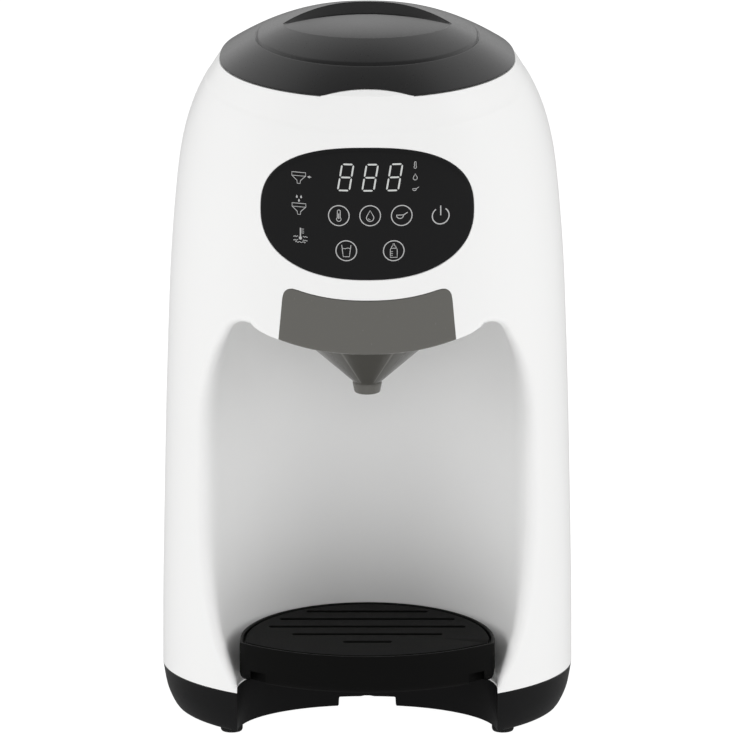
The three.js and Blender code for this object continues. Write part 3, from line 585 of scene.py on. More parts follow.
def bay_field(x, y, z):
    w = fBay(np.clip(z, 22, 194))
    u, L = y - BAY_CY, BAY_BACK - BAY_CY
    g = np.sqrt((x / w) ** 2 + (u / L) ** 2) + 1e-9
    e = (g - 1) * g / np.sqrt((x / w ** 2) ** 2 + (u / L ** 2) ** 2 + 1e-14)
    d = np.where(u > 0, e, np.abs(x) - w)
    slope = 2.3 * 11.2 * (np.abs(x) / 55) ** 1.3 / 55
    ceiling = (z - head_edge(x)) / np.sqrt(1 + slope * slope)
    return np.maximum(smax(d, ceiling, 6.5), 25.5 - z)


def front_solid(x, y, z):
    # the bay's edge: round beside the cheeks, where it runs far into the bay, and crisp under the head
    k = np.clip((np.abs(x) - 42) / 18, 0, 1)
    crisp = 0.8 + 0.45 * np.maximum(0, head_edge(x) - z) + 10 * k * k * (3 - 2 * k)
    ra = np.maximum(np.minimum(1.05 * fEdge(np.clip(z, 22, 190)), crisp), 0.5)
    t = np.clip((ra - 2.5) / 3.5, 0, 1)
    rb = ra * (1 + 0.65 * t * t * (3 - 2 * t))
    a, b = body_field(x, y, z), -bay_field(x, y, z)
    u, v = np.maximum(a / rb + 1, 0), np.maximum(b / ra + 1, 0)
    q = np.sqrt(u * u + v * v)
    blend = (q - 1) * q / np.maximum(np.sqrt((u / rb) ** 2 + (v / ra) ** 2), 1e-9)
    return np.where(q > 1e-6, blend, np.maximum(a, b))


def front_field(x, y, z):
    s = front_solid(x, y, z)
    return np.abs(s + WALL / 2) - WALL / 2


def surface_net(f, lo, hi, h):
    """Closed surface of f = 0 on a grid, moved onto the exact surface."""
    nx, ny, nz = (int(round((b - a) / h)) + 1 for a, b in zip(lo, hi))
    half = (nx - 1) // 2
    xs = (np.arange(nx) - half) * h
    ys, zs = lo[1] + np.arange(ny) * h, lo[2] + np.arange(nz) * h
    F = np.empty((nx, ny, nz), np.float32)
    X, Y = np.meshgrid(xs[half:], ys, indexing="ij")
    for k0 in range(0, nz, 16):
        zz = zs[k0:k0 + 16]
        v = f(X[:, :, None] + 0 * zz, Y[:, :, None] + 0 * zz, zz[None, None, :] + 0 * X[:, :, None])
        F[half:, :, k0:k0 + 16] = v
    F[:half] = F[:half:-1]
    S = F < 0
    cnt = sum(S[i:nx - 1 + i, j:ny - 1 + j, k:nz - 1 + k].astype(np.int8) for i in (0, 1) for j in (0, 1) for k in (0, 1))
    act = (cnt > 0) & (cnt < 8)
    ids = np.argwhere(act)
    idx = np.full(act.shape, -1, np.int64)
    idx[act] = np.arange(len(ids))
    P, W = np.zeros((len(ids), 3)), np.zeros(len(ids))
    for ax in range(3):
        o1, o2 = [a for a in range(3) if a != ax]
        for u in (0, 1):
            for w in (0, 1):
                a = np.zeros(3, int)
                a[o1], a[o2] = u, w
                b = a.copy()
                b[ax] = 1
                fa, fb = F[tuple((ids + a).T)], F[tuple((ids + b).T)]
                hit = (fa < 0) != (fb < 0)
                t = np.where(hit, fa / np.where(hit, fa - fb, 1), 0)
                q = np.tile(a.astype(float), (len(ids), 1))
                q[:, ax] += t
                P += q * hit[:, None]
                W += hit
    P = (P / W[:, None] + ids) * h + np.array([xs[0], lo[1], lo[2]])
    faces = []
    for ax in range(3):
        o1, o2 = [(1, 2), (2, 0), (0, 1)][ax]
        sl = [slice(1, -1)] * 3
        sl[ax] = slice(0, -1)
        s0 = S[tuple(sl)]
        sl2 = list(sl)
        sl2[ax] = slice(1, None)
        s1 = S[tuple(sl2)]
        e = np.argwhere(s0 != s1)
        first = s0[tuple(e.T)]
        e[:, o1] += 1
        e[:, o2] += 1
        c = []
        for u, w in ((-1, -1), (0, -1), (0, 0), (-1, 0)):
            g = e.copy()
            g[:, o1] += u
            g[:, o2] += w
            c.append(idx[tuple(g.T)])
        q = np.stack(c, 1)
        q = np.where(first[:, None], q, q[:, ::-1])
        faces.append(q)
    faces = np.vstack(faces)
    for _ in range(4):
        v = f(P[:, 0], P[:, 1], P[:, 2])
        g = np.empty_like(P)
        for k in range(3):
            d = np.zeros(3)
            d[k] = 0.04
            a, b = P + d, P - d
            g[:, k] = (f(a[:, 0], a[:, 1], a[:, 2]) - f(b[:, 0], b[:, 1], b[:, 2])) / 0.08
        step = v[:, None] * g / np.maximum((g * g).sum(1, keepdims=True), 0.05)
        size = np.linalg.norm(step, axis=1, keepdims=True)
        P -= step * np.minimum(1, 0.4 * h / np.maximum(size, 1e-9))
    return P, faces


def arch_outline(e, n=64):
    t = math.pi - np.arange(1, n) * math.pi / n
    mid = np.stack([(55.7 + e) * np.cos(t), -44 + (38.5 + e) * np.sin(t)], 1)
    return np.vstack([[(-55.7 - e, -130), (-55.7 - e, -48)], mid, [(55.7 + e, -48), (55.7 + e, -130)]])


def superellipse(a, b, n, cx, cz, seg=160):
    t = np.arange(seg) * 2 * math.pi / seg
    return np.stack([cx + a * spow(np.cos(t), 2 / n), cz + b * spow(np.sin(t), 2 / n)], 1)


def plate_outline(e, drop=0.0):
    """The funnel plate's outline, grown by e, and by drop more below its lower edge."""
    x = np.linspace(-38.6, 38.6, 61)
    low = [(q * (1 + e / 38.6), head_edge(q) - e - drop) for q in x]
    x = np.linspace(35.1, -35.1, 61)
    high = [(q * (1 + e / 35.1), 201.2 + 3.53 * (abs(q) / 29.5) ** 2.38 + e) for q in x]
    return fillet(np.array(low + high), lambda p: max(0.3, (4.6 if p[1] > 195 else 0.9) + e), 20)


def bowl_outline(e, n=48):
    t = math.pi - np.arange(1, n) * math.pi / n
    mid = np.stack([(31 + e) * np.cos(t), FUN_Y + (31 + e) * np.sin(t)], 1)
    return np.vstack([[(-31 - e, -130), (-31 - e, FUN_Y)], mid, [(31 + e, FUN_Y), (31 + e, -130)]])


def surface_cutter(name, outline_at, depths):
    """Cutter that follows the housing's front surface: (outline offset, depth behind the surface) per ring."""
    rings = []
    for e, d in depths:
        o = even(outline_at(e), 180)
        rings.append(np.stack([o[:, 0], front_y(o[:, 0], o[:, 1]) + d, o[:, 1]], 1))
    front_end = rings[0].copy()
    front_end[:, 1] = -95
    return loft(name, [front_end] + rings)


def lid_height(x, y):
    ny = np.where(y > 0, np.abs(y) / LID_R, np.abs(y) / LID_F)
    nx = np.abs(x) / LID_A
    rho = np.where(y > 0, (nx ** LID_N + ny ** LID_N) ** (1 / LID_N), np.sqrt(nx ** 2 + ny ** 2))
    return LID_CROWN - LID_H * rho ** LID_P + TILT * y


def lid_ring(rho, z, n=256, grow=0.0):
    t = np.arange(n) * 2 * math.pi / n
    c, s = np.cos(t), np.sin(t)
    x = np.where(s > 0, (rho * LID_A + grow) * spow(c, 2 / LID_N), (rho * LID_A + grow) * c)
    y = np.where(s > 0, (rho * LID_R + grow) * spow(s, 2 / LID_N), (rho * LID_F + grow) * s)
    return np.stack([x, y, z + TILT * y], 1)


def notch_outline(e):
    x = np.linspace(20 + e, -20 - e, 41)
    return np.vstack([[(-20 - e, 280), (20 + e, 280)], np.stack([x, 288.6 + (3.1 + e) * (1 - (x / (20 + e)) ** 2)], 1)])


def mouth_cutter():
    """The round hole for the hopper, with a bevelled upper edge."""
    return loft("mouth", [circle(r, z, 0, HOLE_Y, 160) for r, z in ((MOUTH_R, 279), (MOUTH_R, 288.6), (MOUTH_R + 1.2, 289.8), (MOUTH_R + 1.2, 300))])


# front shell
P, Q = surface_net(front_field, (-91.2, -70.8, 18.0), (91.2, 30.0, 294.0), 1.2)
front = mesh_object("housing_front", P, Q.tolist())
dec = front.modifiers.new("thin", "DECIMATE")
dec.ratio = 0.5
bpy.context.view_layer.update()
thin = bpy.data.meshes.new_from_object(front.evaluated_get(bpy.context.evaluated_depsgraph_get()))
front.modifiers.clear()
front.data = thin
top = block("top", -100, 100, -100, Y_SPLIT, Z_JOINT + GAP, Z_TOP)
for v in top.data.vertices:
    if v.co.z > 100:
        v.co.z = Z_TOP + TILT * v.co.y
keep(front, top)
rim = []
for off, z in ((60, 10), (60, 280), (1.69, 287.7), (-1.03, 289.7), (-1.03, 302)):
    r = body_ring(289.2, -off, 256, lean=False)
    if off < 5:
        calm = np.clip((22.5 - np.abs(r[:, 0])) / 2.5, 0, 1) * (r[:, 1] < 0)
        r[:, 1] -= 1.4 * calm
    r[:, 2] = z + TILT * r[:, 1] * (z > 250)
    rim.append(r)
keep(front, loft("rim", rim))
cut(front, mouth_cutter())
cut(front, flat_prism("arch", arch_outline(0), -2, 26))
cut(front, surface_cutter("pocket", lambda e: superellipse(PANEL_A - 0.75 + e, PANEL_B - 0.75 + e, PANEL_N, 0, PANEL_Z), ((1.3, -0.95), (0.14, 0.2), (0.14, 6.0))))
cut(front, surface_cutter("opening", lambda e: plate_outline(e, 14), ((1.2, -0.9), (0.3, 0.05), (0.3, 8.0))))
cut(front, flat_prism("slot", bowl_outline(0.6), 168, 196))
tongue = loft("tongue", [lid_ring(0.2, 286.4), lid_ring(1.0, 286.4, 256, 0.02)] + [lid_ring(r, LID_CROWN - LID_H * r ** LID_P) for r in (1.0, 0.98, 0.95, 0.92, 0.88, 0.84, 0.8, 0.7, 0.5, 0.2)])
keep(tongue, prism_y("zone", notch_outline(-0.4), -80, -56.9))
add(front, tongue)
finish_piece(front, "housing", ["front_shell"], "white_housing", field=front_field)

# rear shell with the flat wall that the tank docks against
rear = body_solid("housing_rear", Z_JOINT + GAP, Z_TOP, 0, 320)
cut(rear, body_solid("hollow", Z_JOINT - 3, Z_TOP - WALL, WALL, 320))
wall = body_solid("wall", Z_JOINT + GAP, Z_TOP, 0, 320)
keep(wall, block("w", -100, 100, Y_DOCK - WALL, Y_DOCK, 0, 320))
add(rear, wall)
keep(rear, block("half", -100, 100, Y_SPLIT + GAP, Y_DOCK, 0, 320))
cut(rear, mouth_cutter())
for x, y in ((-66, 50), (66, 50)):
    rib = block("rib", min(x, x * 1.36), max(x, x * 1.36), y - 1.2, y + 1.2, Z_JOINT + GAP, 36)
    keep(rib, body_solid("inside", Z_JOINT - 1, 60, 0.8, 320))
    add(rear, rib, rod("boss", 4.6, Z_JOINT + GAP, 36, x, y, 48))
    cut(rear, rod("hole", 1.8, 10, 35, x, y, 32))
finish_piece(rear, "housing", ["rear_shell"], "white_housing")


# base pan
def base_ring(z, inset=0.0, n=256):
    a = float(fBase(z))
    k = a / 88
    return body_ring(z, inset, n, tab=(a, 64.5 * k, 112 * k, 2.7), lean=False)


zs = list(np.arange(5.0, 22, 1.5)) + [21.7]
base = loft("base", [base_ring(3.0, 1.2), base_ring(3.25, 0.5), base_ring(3.8, 0.1)] + [base_ring(z) for z in zs] + [base_ring(22.0, 0.3)])
cut(base, loft("hollow", [base_ring(z, WALL) for z in (5.5, 8, 12, 16, 20, 23)]))
full = loft("full", [base_ring(z) for z in (3.4, 5, 8, 12, 16, 20, 21.9)])
keep(full, flat_prism("archwall", arch_outline(WALL), 3, 21.9))
add(base, full)
ledge = loft("ledge", [base_ring(z) for z in (19.5, 20.5, 22.0)])
keep(ledge, block("b", -100, 100, Y_DOCK - 3, 130, 19.5, 22))
add(base, ledge)
add(base, block("bridge", -15, 15, -8, 24, 3, 9.6))
for x, y in ((-74, 4), (74, 4), (-66, 50), (66, 50)):
    add(base, rod("boss", 5.4, 4, 21.7, x, y))
cut(base, flat_prism("arch", arch_outline(0), -2, 26), prism_y("notch", fillet([(-12.9, 1), (12.9, 1), (12.9, 2.6), (12.3, 3.6), (12.1, 7), (2.8, 7), (1.2, 7.35), (-1.2, 7.35), (-2.8, 7), (-12.1, 7), (-12.3, 3.6), (-12.9, 2.6)], 0.5, 20, 3), -20, 21))
for x, y in ((-74, 4), (74, 4), (-66, 50), (66, 50)):
    cut(base, loft("well", [circle(4.2, 2, x, y), circle(3.6, 3.6, x, y), circle(3.6, 6, x, y)]), rod("hole", 1.8, 5, 24, x, y))
cut(base, rod("socket", 10, 18, 24, 0, 88), block("inlet", -11.3, 11.3, 94, 116, 6.2, 18.3))
for x, y in ((-58.2, -31), (58.2, -31), (-50, 82), (50, 82)):
    cut(base, rod("peg", 2.3, 0, 8, x, y))
finish_piece(base, "housing", ["base_pan"], "black_base")

for name, x, y in (("front_left", -58.2, -31), ("front_right", 58.2, -31), ("rear_left", -50, 82), ("rear_right", 50, 82)):
    foot = lathe("pad_" + name, [(0, 0.25), (2.6, 0.25), (2.9, 0), (4.4, 0, 0.3), (4.75, 0.9), (4.75, 2.7), (2, 2.7, 0.1), (2, 7.2), (0, 7.2)], 48, x, y, 0.3)
    finish_piece(foot, "housing", ["foot_" + name], "foot_rubber")

# ---------------------------------------------------------------- touch panel with its printed signs
rings = [np.array([[0.0, float(front_y(0, PANEL_Z)), PANEL_Z]])]
for e, t, d in [(0.45, t, 0.0) for t in (0.08, 0.2, 0.32, 0.44, 0.56, 0.68, 0.78, 0.87, 0.94, 1.0)] + [(0.2, 1, 0.06), (0.05, 1, 0.2), (0.0, 1, 0.45), (0.0, 1, 2.2)] + [(0.0, t, 2.2) for t in (0.8, 0.5, 0.2)]:
    o = superellipse((PANEL_A - 0.75 - e) * t, (PANEL_B - 0.75 - e) * t, PANEL_N, 0, PANEL_Z)
    rings.append(np.stack([o[:, 0], front_y(o[:, 0], o[:, 1]) + d, o[:, 1]], 1))
rings.append(np.array([[0.0, float(front_y(0, PANEL_Z)) + 2.2, PANEL_Z]]))
finish_piece(loft("touch_cover", rings), "housing", ["touch_panel"], "panel_glass", sharp=40)

signs, digits = [], []


def stroke(to, pts, w, closed=False):
    """A printed line, laid on the glass: pts are (x, z) in mm."""
    p = np.asarray(pts, float)
    if closed:
        p = np.vstack([p, p[:1]])
    q = [p[0]]
    for a, b in zip(p[:-1], p[1:]):
        k = max(1, int(np.linalg.norm(b - a) / 1.5))
        q += [a + (b - a) * i / k for i in range(1, k + 1)]
    q = np.array(q)
    t = np.gradient(q, axis=0)
    if closed:
        t[0] = t[-1] = q[1] - q[-2]
    t /= np.maximum(np.linalg.norm(t, axis=1, keepdims=True), 1e-9)
    nrm = np.stack([-t[:, 1], t[:, 0]], 1) * w / 2
    to.append((q + nrm, q - nrm))


def patch(to, pts):
    """A printed filled shape given by its left and right borders."""
    to.append((np.array([p[0] for p in pts], float), np.array([p[1] for p in pts], float)))


def arc(cx, cz, r, a0, a1, n=28):
    t = np.radians(np.linspace(a0, a1, n))
    return np.stack([cx + r * np.cos(t), cz + r * np.sin(t)], 1)


def ring_sign(cx, cz, r, w=0.42):
    stroke(signs, arc(cx, cz, r, 0, 360, 49), w)


def printed(name, strips, mat):
    verts, faces = [], []
    for left, right in strips:
        n, s = len(left), len(verts)
        for side, d in ((left, -0.035), (right, -0.035), (left, 0.06), (right, 0.06)):
            y = front_y(side[:, 0], side[:, 1]) + d
            verts += [(a, b, c) for a, b, c in zip(side[:, 0], y, side[:, 1])]
        a, b, c, d = s, s + n, s + 2 * n, s + 3 * n
        for i in range(n - 1):
            faces += [(a + i, a + i + 1, b + i + 1, b + i), (c + i, d + i, d + i + 1, c + i + 1), (a + i, c + i, c + i + 1, a + i + 1), (b + i, b + i + 1, d + i + 1, d + i)]
        faces += [(a, b, d, c), (a + n - 1, c + n - 1, d + n - 1, b + n - 1)]
    me = bpy.data.meshes.new(name)
    me.from_pydata(verts, [], faces)
    bm = bmesh.new()
    bm.from_mesh(me)
    bmesh.ops.recalc_face_normals(bm, faces=bm.faces)
    bm.to_mesh(me)
    bm.free()
    o = add_object(name, me)
    return finish_piece(o, "housing", None, "panel_glass", material=MATS[mat])


# three figures of seven segments, leaning to the right
for x0 in (-12.45, -2.15, 8.15):
    W, H, z0, k = 4.85, 11.2, 249.35, 0.165

    def seg(ax, az, bx, bz, w=0.7):
        a, b = np.array([x0 + ax + k * az, z0 + az]), np.array([x0 + bx + k * bz, z0 + bz])
        t = (b - a) / np.linalg.norm(b - a)
        nn = np.array([-t[1], t[0]]) * w / 2
        patch(digits, [(a, a), (a + t * 0.45 + nn, a + t * 0.45 - nn), ((a + b) / 2 + nn, (a + b) / 2 - nn), (b - t * 0.45 + nn, b - t * 0.45 - nn), (b, b)])
    g = 0.32
    for z in (0, H / 2, H):
        seg(g, z, W - g, z)
    for x in (0, W):
        seg(x, g, x, H / 2 - g)
        seg(x, H / 2 + g, x, H - g)

# upper row of ring keys: thermometer, drop, scoop
for cx, cz in ((-12.0, 238.4), (1.2, 238.55), (14.5, 238.4)):
    ring_sign(cx, cz, 4.35)
cx, cz = -12.0, 238.4
stroke(signs, np.vstack([arc(cx, cz - 1.55, 0.95, 130, 410, 17), arc(cx, cz + 1.9, 0.6, 0, 180, 9)]), 0.3, closed=True)
stroke(signs, [(cx, cz - 1.4), (cx, cz + 0.9)], 0.42)
cx, cz = 1.2, 238.4
drop = np.vstack([[(cx, cz + 2.4)], arc(cx, cz - 0.75, 1.55, 35, -215, 21)])
stroke(signs, drop, 0.32, closed=True)
stroke(signs, arc(cx, cz - 0.75, 0.85, 200, 280, 8), 0.26)
cx, cz = 14.5, 238.4
stroke(signs, np.vstack([arc(cx - 0.7, cz + 0.2, 1.5, 180, 360, 13)]), 0.34, closed=True)
stroke(signs, [(cx + 0.8, cz + 0.2), (cx + 2.5, cz + 1.3)], 0.36)
# the same three as small marks beside the figures
cx, cz = 20.2, 259.9
stroke(signs, np.vstack([arc(cx, cz - 0.95, 0.55, 130, 410, 11), arc(cx, cz + 1.0, 0.34, 0, 180, 7)]), 0.24, closed=True)
cx, cz = 20.2, 254.7
stroke(signs, np.vstack([[(cx, cz + 1.35)], arc(cx, cz - 0.4, 0.85, 35, -215, 15)]), 0.26, closed=True)
cx, cz = 20.2, 249.6
stroke(signs, arc(cx - 0.3, cz + 0.1, 0.85, 180, 360, 9), 0.26, closed=True)
stroke(signs, [(cx + 0.55, cz + 0.1), (cx + 1.5, cz + 0.75)], 0.26)
# power key
stroke(signs, arc(30.95, 237.2, 3.55, 125, 415, 33), 0.48)
stroke(signs, [(30.95, 237.4), (30.95, 241.6)], 0.48)
# lower ring keys: glass of water and feeding bottle
for cx, cz in ((-8.85, 223.2), (11.15, 223.15)):
    ring_sign(cx, cz, 4.35)
cx, cz = -8.85, 223.2
stroke(signs, [(cx - 1.95, cz + 2.5), (cx - 1.3, cz - 2.6), (cx + 1.3, cz - 2.6), (cx + 1.95, cz + 2.5)], 0.3)
stroke(signs, [(cx - 1.75, cz + 1.1), (cx - 0.6, cz + 0.85), (cx + 0.6, cz + 1.2), (cx + 1.75, cz + 1.0)], 0.26)
cx, cz = 11.15, 223.15
stroke(signs, np.array([(cx - 1.25, cz + 1.1), (cx - 1.45, cz + 0.5), (cx - 1.45, cz - 2.9), (cx + 1.45, cz - 2.9), (cx + 1.45, cz + 0.5), (cx + 1.25, cz + 1.1)]), 0.28, closed=True)
stroke(signs, [(cx - 1.0, cz + 1.2), (cx - 0.85, cz + 1.9), (cx - 0.35, cz + 2.2), (cx - 0.25, cz + 3.1), (cx + 0.25, cz + 3.1), (cx + 0.35, cz + 2.2), (cx + 0.85, cz + 1.9), (cx + 1.0, cz + 1.2)], 0.26)
for i in range(3):
    stroke(signs, [(cx - 1.3, cz - 0.4 - 0.8 * i), (cx - 0.4, cz - 0.4 - 0.8 * i)], 0.22)


# left column: funnel slides out, funnel rinse, water at temperature
def funnel_sign(cx, cz):
    stroke(signs, [(cx - 2.9, cz + 1.9), (cx - 2.9, cz + 0.4), (cx - 0.75, cz - 1.6), (cx - 0.6, cz - 2.9), (cx + 0.6, cz - 2.9), (cx + 0.75, cz - 1.6), (cx + 2.9, cz + 0.4), (cx + 2.9, cz + 1.9)], 0.26, closed=True)
    stroke(signs, [(cx - 2.9, cz + 0.4), (cx + 2.9, cz + 0.4)], 0.22)


funnel_sign(-28.9, 254.2)
stroke(signs, [(-24.8, 254.4), (-23.6, 254.4)], 0.3)
patch(signs, [((-25.3, 254.42), (-25.3, 254.38)), ((-24.3, 255.0), (-24.3, 253.8))])
funnel_sign(-28.8, 240.9)
for dx, dz in ((-0.9, 4.7), (0.9, 4.7), (0.0, 3.1)):
    cx, cz = -28.8 + dx, 240.9 + dz
    patch(signs, [((cx - 0.02, cz + 0.8), (cx + 0.02, cz + 0.8)), ((cx - 0.25, cz + 0.3), (cx + 0.25, cz + 0.3)), ((cx - 0.4, cz - 0.15), (cx + 0.4, cz - 0.15)), ((cx - 0.25, cz - 0.5), (cx + 0.25, cz - 0.5))])
cx, cz = -28.2, 229.0
stroke(signs, [(cx, cz - 1.2), (cx, cz + 3.2)], 0.5)
patch(signs, [((cx - 0.25, cz - 1.9), (cx + 0.25, cz - 1.9)), ((cx - 0.62, cz - 1.5), (cx + 0.62, cz - 1.5)), ((cx - 0.62, cz - 0.9), (cx + 0.62, cz - 0.9)), ((cx - 0.25, cz - 0.5), (cx + 0.25, cz - 0.5))])
for i in range(3):
    stroke(signs, [(cx + 0.35, cz + 2.7 - 0.85 * i), (cx + 1.5, cz + 2.7 - 0.85 * i)], 0.22)
for dz in (-0.6, -2.2):
    for sx in (-1, 1):
        t = np.linspace(0, 1, 9)
        stroke(signs, np.stack([cx + sx * (1.0 + 2.0 * t), cz + dz + 0.22 * np.sin(t * 4 * math.pi)], 1), 0.24)
t = np.linspace(0, 1, 13)
stroke(signs, np.stack([cx - 2.2 + 4.4 * t, cz - 3.0 + 0.22 * np.sin(t * 6 * math.pi)], 1), 0.24)
# the signs are print with a faint painted glow
printed("printed_signs", signs, "panel_print_glow")
printed("lit_figures", digits, "digit_light")

# ---------------------------------------------------------------- funnel
centre = np.array([0.0, 191.5])
base_line = plate_outline(0)
ang = np.sort(np.mod(np.arctan2(base_line[:, 1] - centre[1], base_line[:, 0] - centre[0]), 2 * math.pi))
ang = ang[np.concatenate([[True], np.diff(ang) > 0.004])]
r0 = rays(base_line, centre, ang)
r1 = rays(plate_outline(-1.0), centre, ang)
per_mm = r0 - r1
low = np.clip((head_edge(r0 * np.cos(ang)) + 3.5 - (centre[1] + r0 * np.sin(ang))) / 3.5, 0, 1)   # 1 along the lower edge


def plate_ring(e, frac, d, low_e=0.0, low_d=0.0):
    r = (r0 - per_mm * (e + low_e * low)) * frac
    x, z = centre[0] + r * np.cos(ang), centre[1] + r * np.sin(ang)
    return np.stack([x, front_y(x, z) + d + low_d * low, z], 1)


rings = [np.array([[0.0, float(front_y(0, centre[1])), centre[1]]])]
rings += [plate_ring(0.5, t, 0.0, 1.3) for t in (0.12, 0.28, 0.44, 0.6, 0.74, 0.86, 0.94, 1.0)]
rings += [plate_ring(0.25, 1, 0.05, 0.75, 0.08), plate_ring(0.08, 1, 0.18, 0.35, 0.3), plate_ring(0.0, 1, 0.45, 0.08, 0.75), plate_ring(0.0, 1, 1.6), plate_ring(0.0, 1, 2.9)]
rings += [plate_ring(0.0, t, 2.9) for t in (0.8, 0.5, 0.2)] + [np.array([[0.0, float(front_y(0, centre[1])) + 2.9, centre[1]]])]
plate = loft("plate", rings)
slope, zn = 1.1, 154.2
prof = [(0, 149.1), (5.5, 149.1, 0.9), (6.3, 153.3, 0.2), (6.05, 153.8, 0.2), (6.3 + slope * 0.3, zn + 0.3, 0.2), (6.4 + slope * (206 - zn), 206, 0), (0, 206)]
funnel = lathe("mixing_funnel", prof, 144, 0, FUN_Y, 0.3, 4)
keep(funnel, flat_prism("bowl", bowl_outline(0), 140, 199.5), body_solid("skin", 149, 226, 0.8, 320))
inner = lathe("inner", [(0, 147), (4.0, 147), (4.0, zn + 1.2), (6.4 + slope, zn + 2.9 + 1, 0), (6.4 + slope * (206 - zn - 2.9), 206, 0), (0, 206)], 144, 0, FUN_Y, 0.5)
keep(inner, flat_prism("bowl", bowl_outline(-2), 130, 207), body_solid("skin", 130, 226, 3.4, 320))
cut(funnel, inner, rod("bore", 4.0, 140, 160, 0, FUN_Y, 144))
add(funnel, block("rail_l", -34, -29.5, -48, 4, 196, 198), block("rail_r", 29.5, 34, -48, 4, 196, 198), plate)
finish_piece(funnel, "funnel", ["funnel"], "funnel_plastic", sharp=32)
# painted shade: the cone's faces below the plate take the darker copy of the funnel plastic
funnel.data.materials.append(MATS["funnel_cone"])
for face in funnel.data.polygons:
    c = face.center * 1000
    if c.z > 153.4 and math.hypot(c.x, c.y - SHIFT_Y - FUN_Y) < 6.6 + slope * (c.z - zn) and c.y - SHIFT_Y > -58:
        face.material_index = 1

# ---------------------------------------------------------------- lid
N = 320
theta = np.arange(N) * 2 * math.pi / N
away = np.degrees(np.abs(np.arctan2(np.cos(theta), -np.sin(theta))))       # angle from the front
fade = np.clip((112 - away) / 34, 0, 1)
fade = fade * fade * (3 - 2 * fade)
rho_g = 47.2 / LID_A
rhos = np.unique(np.concatenate([np.linspace(0.03, rho_g - 0.05, 26), np.linspace(rho_g - 0.045, rho_g + 0.045, 27), np.linspace(rho_g + 0.055, 0.985, 16), [0.992, 0.997]]))
rings = [np.array([[0.0, 0.0, LID_CROWN]])]
for rho in rhos:
    r = lid_ring(rho, LID_CROWN - LID_H * rho ** LID_P, N)
    u = (rho - rho_g) * LID_A
    raised = 0.3 / (1 + math.exp(min(60, max(-60, u / 0.22))))
    groove = -0.85 * math.exp(-(u / 0.45) ** 2)
    r[:, 2] += fade * (raised + groove)
    rings.append(r)
zr = LID_CROWN - LID_H
rings += [lid_ring(1.0, zr - 0.05, N, -0.02), lid_ring(1.0, zr - 0.2, N, 0.0), lid_ring(1.0, zr - 0.38, N, -0.08), lid_ring(1.0, Z_TOP + 0.5, N, -0.4)]
rings += [lid_ring(0.92, Z_TOP + 0.5, N), lid_ring(0.9, Z_TOP + 0.7, N)]
rings += [lid_ring(r, min(301.6, LID_CROWN - LID_H * r ** LID_P - 2.6), N) for r in (0.88, 0.8, 0.7, 0.6, 0.5, 0.3)] + [np.array([[0.0, 0.0, 301.6]])]
lid = loft("lid", rings)
lens = []
t = np.linspace(math.pi + 0.18, 2 * math.pi - 0.18, 81)
lens = np.stack([36.4 * np.cos(t), 6.4 + 36.4 * np.sin(t)], 1)
x = np.linspace(35.8, -35.8, 83)[1:-1]
lens = np.vstack([lens, np.stack([x, 18 - 18.1 * (x / 35.8) ** 2], 1)])
lens = fillet(lens, 0.5, 30, 4)
c0 = np.array([0.0, -6.0])
la = np.sort(np.mod(np.arctan2(lens[:, 1] - c0[1], lens[:, 0] - c0[0]), 2 * math.pi))
la = la[np.concatenate([[True], np.diff(la) > 0.003])]
lr = rays(lens, c0, la)
back = np.clip(np.sin(la) * 2.0, 0, 1)


def lens_ring(grow, z=None, lift=0.0):
    q = lr + grow
    x, y = c0[0] + q * np.cos(la), c0[1] + q * np.sin(la)
    zz = np.full(len(la), float(z)) if z is not None else lid_height(x, y) + lift
    return np.stack([x, y, zz], 1)


ring_a = lens_ring(1.3, None, 1.0)
ring_b = lens_ring(0.0 + 0.0, None, -0.28)
ring_b[:, 2] = np.maximum(ring_b[:, 2], 304.75)
ring_a[:, 2] = np.maximum(ring_a[:, 2], ring_b[:, 2] + 0.9)
ring_top = lens_ring(1.3, 330)
ring_c = lens_ring(-0.35, 304.95)
ring_c[:, 2] = np.minimum(ring_c[:, 2], ring_b[:, 2] - 0.02)
ring_d = lens_ring(-0.9, 304.6)
cut(lid, loft("lens", [ring_top, ring_a, ring_b, ring_c, ring_d]))
cut(lid, prism_y("zone", notch_outline(0.1), -80, -56.9))
finish_piece(lid, "lid", ["lid_shell"], "lid_plastic", sharp=24)
lid.data.materials.append(MATS["lid_recess"])
lid.data.materials.append(MATS["lid_wall"])
# painted light: the recess floor's faces take the ramp-painted copy, the front-facing rear wall the lighter wall copy
for face in lid.data.polygons:
    c = face.center * 1000
    if 304.3 < c.z < 305.3 and face.normal.z > 0.97:
        face.material_index = 1
    elif c.z > 304.4 and face.normal.z < 0.5 and face.normal.y < -0.2 and c.y - SHIFT_Y > -2 and (c.x / 37.5) ** 2 + ((c.y - SHIFT_Y) / 19.5) ** 2 < 1.0:
        face.material_index = 2
liner = lathe("lid_liner_ring", [(0, 288.4), (44.6, 288.4, 0.2), (44.6, 280.8, 0.3), (45.6, 280.8, 0.3), (45.6, 288.4, 0.2), (53.6, 288.4, 0.2), (53.6, 286.9, 0.3), (55.9, 286.9, 0.3), (55.9, 291, 0.4), (0, 291)], 128, 0, HOLE_Y - 0.4)
finish_piece(liner, "lid", ["lid_liner"], "inner_plastic")

# ---------------------------------------------------------------- drip tray and its cover
def tray_outline(e):
    R, yb = 54.6 - e, 17.6 - BAY_CY - e
    t = np.arange(0, 91) * math.pi / 90
    a = np.stack([R * np.cos(t), BAY_CY + yb * np.sin(t)], 1)
    Rf = 82.4 - e
    q = math.asin(R / Rf)
    t = -q + 2 * q * np.arange(0, 61) / 60
    return np.vstack([a, np.stack([Rf * np.sin(t), 19.8 - Rf * np.cos(t)], 1)])


tc = np.array([0.0, -24.0])
tb = fillet(tray_outline(0), 1.0, 20, 6)
ta = np.sort(np.mod(np.arctan2(tb[:, 1] - tc[1], tb[:, 0] - tc[0]), 2 * math.pi))
ta = ta[np.concatenate([[True], np.diff(ta) > 0.004])]
tray_r = {}


